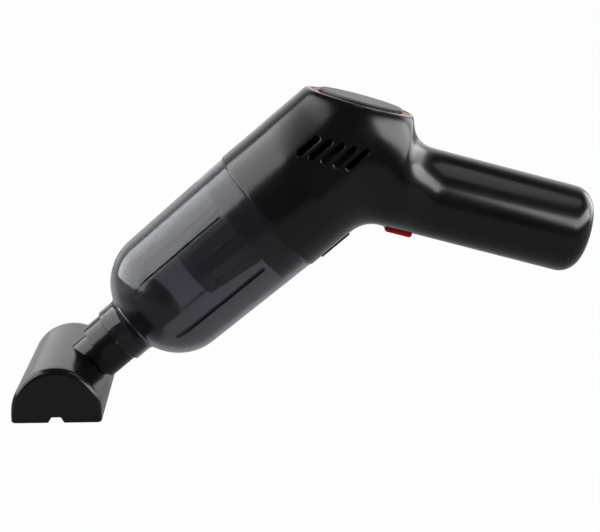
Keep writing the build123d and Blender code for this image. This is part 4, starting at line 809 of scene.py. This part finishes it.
class VACUUM_OT_housing(bpy.types.Operator):
    """Build the two halves of the housing with their vents and windows"""

    bl_idname = "vacuum.housing"
    bl_label = "Housing"

    def execute(self, context):
        shape = context.scene.vacuum_housing
        for side, node in ((-1, "housing_left"), (1, "housing_right")):
            points, faces = half_shell(shape, side)
            piece = make_piece(node + "_shell", points, faces, finish("black_abs"))
            shell = bmesh.new()
            shell.from_mesh(piece.data)
            tree = BVHTree.FromBMesh(shell)
            shell.free()
            cutters = vent_cutters(shape, side, tree)
            cutters.append(outlet_cutter(shape))
            cutters.append(box_cutter(barrel_window, *RELEASE_WINDOW))
            cutters.append(box_cutter(handle_window, *BUTTON_WINDOW))
            cutters.append(box_cutter(socket_window, *SOCKET_WINDOW))
            if side > 0:
                wells, tubes = screw_wells(tree)
                cutters += wells
                lining = make_piece("screw_wells", *join(tubes), finish("black_inner"))
                settle(lining, "main_housing", "black_inner")
            cut_out(piece, cutters)
            # The channel runs into the release button's window, so it is a cut of its own
            cut_out(piece, [box_cutter(tongue_window, *HOUSING_CHANNEL)])
            settle(piece, "main_housing", "black_abs", node)
        finish_nodes("housing_screws", "front_bulkhead", "cup_seal", "charging_socket", "charging_board")
        return {"FINISHED"}


def wall_radius(cup, station):
    """Outside radius of the cup's tapered wall at a station."""
    return cup.mouth_radius - (SEAM - station) * math.tan(cup.taper)


def cup_profile(cup):
    """The closed section of the cup, as (radius, station) pairs."""
    middle = wall_radius(cup, SHOULDER) - cup.dome_radius
    bend = cup.nose_blend
    bend_out = cup.nose_radius + bend
    bend_at = SHOULDER - math.sqrt((cup.dome_radius + bend) ** 2 - (bend_out - middle) ** 2)
    throat = math.atan2(SHOULDER - bend_at, bend_out - middle)
    rim = CUP_RIM
    profile = [(cup.nose_radius - rim, NOSE_RIM), (cup.nose_radius, NOSE_RIM + rim)]
    for angle in spread(0, throat, 9):
        profile.append((bend_out - bend * math.cos(angle), bend_at + bend * math.sin(angle)))
    for angle in spread(throat, 0, 40)[1:]:
        profile.append((middle + cup.dome_radius * math.cos(angle),
                        SHOULDER - cup.dome_radius * math.sin(angle)))
    for station in spread(SHOULDER, SEAM - rim, 16)[1:]:
        profile.append((wall_radius(cup, station), station))
    profile += [(cup.mouth_radius - rim, SEAM), (cup.mouth_radius - cup.wall + rim, SEAM),
                (cup.mouth_radius - cup.wall, SEAM - rim)]
    for station in spread(SEAM - rim, SHOULDER, 16)[1:]:
        profile.append((wall_radius(cup, station) - cup.wall, station))
    inside = cup.dome_radius - cup.wall
    seat_angle = math.acos((DUCT_SEAT - middle) / inside)
    for angle in spread(0, seat_angle, 36)[1:]:
        profile.append((middle + inside * math.cos(angle), SHOULDER - inside * math.sin(angle)))
    profile += [(DUCT_SEAT, DUCT_BACK), (DUCT_BORE, DUCT_BACK), (DUCT_BORE, DUCT_FRONT),
                (NOSE_BORE, DUCT_FRONT), (NOSE_BORE, NOSE_RIM + rim), (NOSE_BORE + rim / 2, NOSE_RIM)]
    return profile


def cup_inside(cup, station):
    """Inside radius of the cup at a station."""
    if station > SHOULDER:
        return wall_radius(cup, station) - cup.wall
    inside = cup.dome_radius - cup.wall
    middle = wall_radius(cup, SHOULDER) - cup.dome_radius
    return middle + math.sqrt(inside ** 2 - (SHOULDER - station) ** 2)


def cup_ribs(cup):
    """Thin ribs through the wall, level with its outside and standing in a little."""
    solids = []
    for index in range(cup.rib_count):
        angle = 2 * math.pi * index / cup.rib_count
        rings = []
        for station in spread(RIB_START, RIB_END, 24):
            low = cup_inside(cup, station) - cup.rib_height
            high = cup_inside(cup, station) + cup.wall + RIB_PROUD
            ring = []
            for radius, side in ((low, -1), (low, 1), (high, 1), (high, -1)):
                across = side * cup.rib_width / 2
                ring.append(on_barrel(station, radius * math.cos(angle) - across * math.sin(angle),
                                      radius * math.sin(angle) + across * math.cos(angle)))
            rings.append(ring)
        solids.append(stack(rings))
    return solids


class VACUUM_OT_cup(bpy.types.Operator):
    """Build the smoked dust cup with its ribs and nose"""

    bl_idname = "vacuum.cup"
    bl_label = "Dust cup"

    def execute(self, context):
        cup = context.scene.vacuum_cup
        points, faces = turned(cup_profile(cup), about_barrel, 160)
        piece = make_piece("smoked_cup", points, faces, finish("smoked_clear"))
        cut_out(piece, [box_cutter(tongue_window, *CUP_SLOT)])
        settle(piece, "cup_body", "smoked_clear", "dust_cup")
        # The ribs' near-black finish is painted shade for the dark lines along them
        ribs = make_piece("cup_ribs", *join(cup_ribs(cup)), finish("painted_shade_rib"))
        settle(ribs, "cup_body", "smoked_clear")
        return {"FINISHED"}


class VACUUM_OT_inlet(bpy.types.Operator):
    """Finish the inlet duct, its flap and the flap's pin"""

    bl_idname = "vacuum.inlet"
    bl_label = "Inlet"

    def execute(self, context):
        finish_nodes("inlet_duct", "inlet_flap", "flap_pin")
        return {"FINISHED"}


class VACUUM_OT_filter(bpy.types.Operator):
    """Finish the filter cartridge"""

    bl_idname = "vacuum.filter"
    bl_label = "Filter"

    def execute(self, context):
        finish_nodes("filter_media", "filter_seal")
        finish_nodes("filter_frame", "filter_cap", slot="charcoal_abs")
        return {"FINISHED"}


def half_round(radius, length, base, edge, columns):
    """Rows of half circles across the head, with rounded end rims."""
    half = length / 2
    rim = [(half, 0.02 * radius), (half, 0.5 * (radius - edge))]
    for angle in spread(0, math.pi / 2, 9):
        rim.append((half - edge * (1 - math.cos(angle)), radius - edge + edge * math.sin(angle)))
    levels = [(-across, reach) for across, reach in rim]
    levels += [(across, radius) for across in spread(edge - half, half - edge, 25)[1:-1]]
    levels += reversed(rim)
    rows = []
    for across, reach in levels:
        rows.append([Vector((reach * math.cos(turn), across, base + reach * math.sin(turn)))
                     for turn in spread(0, math.pi, columns)])
    return rows


def cover_shell(head):
    """Points and faces of the half-round cover, open underneath."""
    columns = 61
    base = head.sole_height + COVER_GAP
    outer = half_round(head.radius, head.length, base, head.edge_round, columns)
    inner = half_round(head.radius - head.wall, head.length - 2 * head.wall, base, INNER_ROUND, columns)
    points = [spot for row in outer + inner for spot in row]
    rows = len(outer)
    start = rows * columns
    faces = bands(rows, columns) + bands(rows, columns, start)
    for edge in (0, columns - 1):
        for row in range(rows - 1):
            low = row * columns + edge
            faces.append((low, low + columns, start + low + columns, start + low))
    for first in (0, (rows - 1) * columns):
        last = first + columns - 1
        faces.append(tuple(range(first, last + 1)))
        faces.append(tuple(range(start + first, start + last + 1)))
        faces.append((first, last, start + last, start + first))
    return points, faces


class VACUUM_OT_head(bpy.types.Operator):
    """Build the half-round cover of the floor head and finish its sole and neck"""

    bl_idname = "vacuum.head"
    bl_label = "Floor head"

    def execute(self, context):
        points, faces = cover_shell(context.scene.vacuum_head)
        cover = make_piece("head_cover_shell", points, faces, finish("black_abs"))
        bore = [(0.0, NECK_START), (NECK_RADIUS, NECK_START), (NECK_RADIUS, NECK_END), (0.0, NECK_END)]
        cut_out(cover, [turned(bore, about_barrel, 96, closed=False)])
        settle(cover, "floor_head", "black_abs", "head_cover")
        finish_nodes("head_neck", "sole_screws", "swivel_ring")
        finish_nodes("head_sole", slot="black_abs")
        return {"FINISHED"}


class VACUUM_OT_connector(bpy.types.Operator):
    """Finish the connector sleeve and its sealing ring"""

    bl_idname = "vacuum.connector"
    bl_label = "Connector"

    def execute(self, context):
        finish_nodes("connector", "connector_seal")
        return {"FINISHED"}


class VACUUM_OT_outlet(bpy.types.Operator):
    """Build the outlet's disc and trim and finish the ring around them"""

    bl_idname = "vacuum.outlet"
    bl_label = "Outlet"

    def execute(self, context):
        shape = context.scene.vacuum_housing
        rim = DISC_RIM
        edge = DISC_RADIUS
        top = shape.flat_height + DISC_RISE
        low = top - DISC_PLATE - rim
        seat = shape.flat_height - OUTLET_RECESS + SEAT_GAP
        plate = [(0.0, top), (edge - DISC_CROWN, top), (edge - rim, top - EDGE_DROP), (edge, top - rim),
                 (edge, top - DISC_PLATE), (edge - rim, low), (0.0, low)]
        solid = turned(plate, about_outlet, TURNED_STEPS, closed=False)
        disc = make_piece("outlet_disc", *solid, finish("grey_disc"))
        settle(disc, "main_housing", "grey_disc", "exhaust_disc")
        foot = edge - DISC_OVERHANG
        neck = [(0.0, low - HAIR), (foot, low - HAIR), (foot, seat), (0.0, seat)]
        solid = turned(neck, about_outlet, TURNED_STEPS, closed=False)
        base = make_piece("outlet_disc_base", *solid, finish("black_inner"))
        settle(base, "main_housing", "black_inner")
        outer = shape.outlet_radius - TRIM_GAP
        inner = outer - TRIM_WIDTH
        level = shape.flat_height - TRIM_SUNK
        trim = [(inner, level - TRIM_SLOPE), (inner + TRIM_BEVEL, level - EDGE_DROP),
                (inner + 2 * TRIM_BEVEL, level), (outer - rim, level), (outer, level - rim),
                (outer, seat), (inner, seat)]
        ring = make_piece("outlet_trim", *turned(trim, about_outlet, TURNED_STEPS), finish("rose_plastic"))
        settle(ring, "main_housing", "rose_plastic")
        finish_nodes("exhaust_ring")
        return {"FINISHED"}


class VACUUM_OT_buttons(bpy.types.Operator):
    """Finish the power button and the release button with their springs"""

    bl_idname = "vacuum.buttons"
    bl_label = "Buttons"

    def execute(self, context):
        finish_nodes("power_button", "release_button", "power_spring", "release_spring", "switch_body")
        return {"FINISHED"}


class VACUUM_OT_works(bpy.types.Operator):
    """Finish the motor, the fan, the battery and the boards inside"""

    bl_idname = "vacuum.works"
    bl_label = "Works"

    def execute(self, context):
        finish_nodes("fan_housing", "motor_plate", "motor_cap", "motor_magnets", "motor_bearings",
                     "motor_screws", "motor_damper", "rotor_shaft", "impeller", "impeller_nut", "armature",
                     "main_board", "battery_cells", "battery_cradle", "battery_tabs", "motor_leads",
                     "battery_leads")
        finish_nodes("motor_can", slot="dark_steel")
        return {"FINISHED"}


def add_softbox(name, place, target, width, height, power):
    """A rectangular softbox that faces a target."""
    lamp = bpy.data.lights.new(name, "AREA")
    lamp.shape = "RECTANGLE"
    lamp.size = width
    lamp.size_y = height
    lamp.energy = power
    box = bpy.data.objects.new(name, lamp)
    box.location = place
    box.rotation_euler = (Vector(target) - Vector(place)).to_track_quat("-Z", "Y").to_euler()
    bpy.context.scene.collection.objects.link(box)


def make_sweep(paper):
    """White paper: plain to the eye, with the vacuum's soft shadow."""
    material, tree = start_material("white_paper")
    ray = add_node(tree, "ShaderNodeLightPath")
    # Reflections see the paper at a quarter of its white, which keeps the undersides of the shells dark
    mirrored = add_node(tree, "ShaderNodeMath", {0: ray.outputs["Is Glossy Ray"]}, {1: FLOOR_MIRRORED},
                        operation="MULTIPLY")
    seen = add_node(tree, "ShaderNodeMath", {0: ray.outputs["Is Camera Ray"], 1: mirrored.outputs[0]},
                    operation="MAXIMUM")
    seen = add_node(tree, "ShaderNodeMath", {0: seen.outputs[0], 1: ray.outputs["Is Transmission Ray"]},
                    operation="MAXIMUM")
    # What is left is lit paper, which takes the faint shadow
    part = add_node(tree, "ShaderNodeMath", {0: seen.outputs[0]}, {1: FLOOR_WHITE}, operation="MULTIPLY")
    flat = add_node(tree, "ShaderNodeEmission", None, {"Color": (1, 1, 1, 1), "Strength": 1.0})
    sheet = add_node(tree, "ShaderNodeBsdfDiffuse", None, {"Color": opaque(paper)})
    both = add_node(tree, "ShaderNodeMixShader",
                    {0: part.outputs[0], 1: sheet.outputs[0], 2: flat.outputs[0]})
    add_node(tree, "ShaderNodeOutputMaterial", {"Surface": both.outputs[0]})
    return material


def make_world():
    """A dim room with a bright wall behind the vacuum, plain white to the eye."""
    world = bpy.data.worlds.new("studio")
    bpy.context.scene.world = world
    world.use_nodes = True
    tree = world.node_tree
    tree.nodes.clear()
    place = add_node(tree, "ShaderNodeTexCoord")
    parts = add_node(tree, "ShaderNodeSeparateXYZ", {0: place.outputs["Generated"]})
    facing = add_node(tree, "ShaderNodeVectorMath", {0: place.outputs["Generated"]}, {1: WALL_FACING},
                      operation="DOT_PRODUCT")
    behind = add_node(tree, "ShaderNodeMapRange", {"Value": facing.outputs["Value"]},
                      WALL_EDGE, interpolation_type="SMOOTHSTEP")
    low = add_node(tree, "ShaderNodeMapRange", {"Value": parts.outputs["Z"]},
                   WALL_TOP, interpolation_type="SMOOTHSTEP")
    wall = add_node(tree, "ShaderNodeMath", {0: behind.outputs[0], 1: low.outputs[0]}, operation="MULTIPLY")
    level = add_node(tree, "ShaderNodeMapRange", {"Value": wall.outputs[0]},
                     {"To Min": ROOM_LEVEL, "To Max": WALL_LEVEL})
    ray = add_node(tree, "ShaderNodeLightPath")
    seen = add_node(tree, "ShaderNodeMath",
                    {0: ray.outputs["Is Camera Ray"], 1: ray.outputs["Is Transmission Ray"]},
                    operation="MAXIMUM")
    level = add_node(tree, "ShaderNodeMix", {"Factor": seen.outputs[0], "A": level.outputs[0]}, {"B": 1.0})
    glow = add_node(tree, "ShaderNodeBackground", {"Strength": level.outputs[0]}, {"Color": (1, 1, 1, 1)})
    add_node(tree, "ShaderNodeOutputWorld", {"Surface": glow.outputs[0]})


class VACUUM_OT_stage(bpy.types.Operator):
    """Set the camera, the paper sweep, the softboxes and the room"""

    bl_idname = "vacuum.stage"
    bl_label = "Stage"

    def execute(self, context):
        scene = context.scene
        settings = scene.vacuum_stage
        level = math.cos(CAMERA_TILT)
        forward = Vector((math.sin(CAMERA_TURN) * level, math.cos(CAMERA_TURN) * level,
                          -math.sin(CAMERA_TILT)))
        lens = bpy.data.cameras.new("photo_camera")
        lens.lens = CAMERA_LENS
        lens.sensor_width = CAMERA_SENSOR
        lens.sensor_fit = "HORIZONTAL"
        camera = bpy.data.objects.new("photo_camera", lens)
        camera.location = CAMERA_TARGET - forward * settings.distance
        camera.rotation_euler = forward.to_track_quat("-Z", "Y").to_euler()
        scene.collection.objects.link(camera)
        scene.camera = camera
        corners = [(-FLOOR_SIDES, FLOOR_NEAR, 0), (FLOOR_SIDES, FLOOR_NEAR, 0),
                   (FLOOR_SIDES, FLOOR_FAR, 0), (-FLOOR_SIDES, FLOOR_FAR, 0)]
        floor = make_piece("paper_sweep", corners, [(0, 1, 2, 3)], make_sweep(scene.vacuum_finish.floor))
        floor.location.z = -FLOOR_SUNK
        for name, box in SOFTBOXES.items():
            add_softbox(name + "_softbox", *box, getattr(settings, name))
        make_world()
        scene.view_settings.view_transform = "Standard"
        return {"FINISHED"}


class VACUUM_PT_panel(bpy.types.Panel):
    """Lists the pieces and their settings"""

    bl_idname = "VACUUM_PT_panel"
    bl_label = "Vacuum"
    bl_space_type = "VIEW_3D"
    bl_region_type = "UI"
    bl_category = "Vacuum"

    def draw(self, context):
        for operator in OPERATORS:
            self.layout.operator(operator.bl_idname)
        for name in SETTINGS:
            group = getattr(context.scene, name)
            box = self.layout.box()
            for key in group.__annotations__:
                box.prop(group, key)


OPERATORS = (VACUUM_OT_head, VACUUM_OT_connector, VACUUM_OT_cup, VACUUM_OT_inlet, VACUUM_OT_filter,
             VACUUM_OT_housing, VACUUM_OT_outlet, VACUUM_OT_buttons, VACUUM_OT_works, VACUUM_OT_stage)
CLASSES = (*SETTINGS.values(), *OPERATORS, VACUUM_PT_panel)


def register():
    """Make the settings, the operators and the panel known."""
    for item in CLASSES:
        bpy.utils.register_class(item)
    for name, group in SETTINGS.items():
        setattr(bpy.types.Scene, name, PointerProperty(type=group))


def unregister():
    """Take them away again."""
    for name in SETTINGS:
        delattr(bpy.types.Scene, name)
    for item in reversed(CLASSES):
        bpy.utils.unregister_class(item)


def main():
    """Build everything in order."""
    register()
    bpy.ops.vacuum.head()
    bpy.ops.vacuum.connector()
    bpy.ops.vacuum.cup()
    bpy.ops.vacuum.inlet()
    bpy.ops.vacuum.filter()
    bpy.ops.vacuum.housing()
    bpy.ops.vacuum.outlet()
    bpy.ops.vacuum.buttons()
    bpy.ops.vacuum.works()
    bpy.ops.vacuum.stage()


if __name__ == "__main__":
    main()
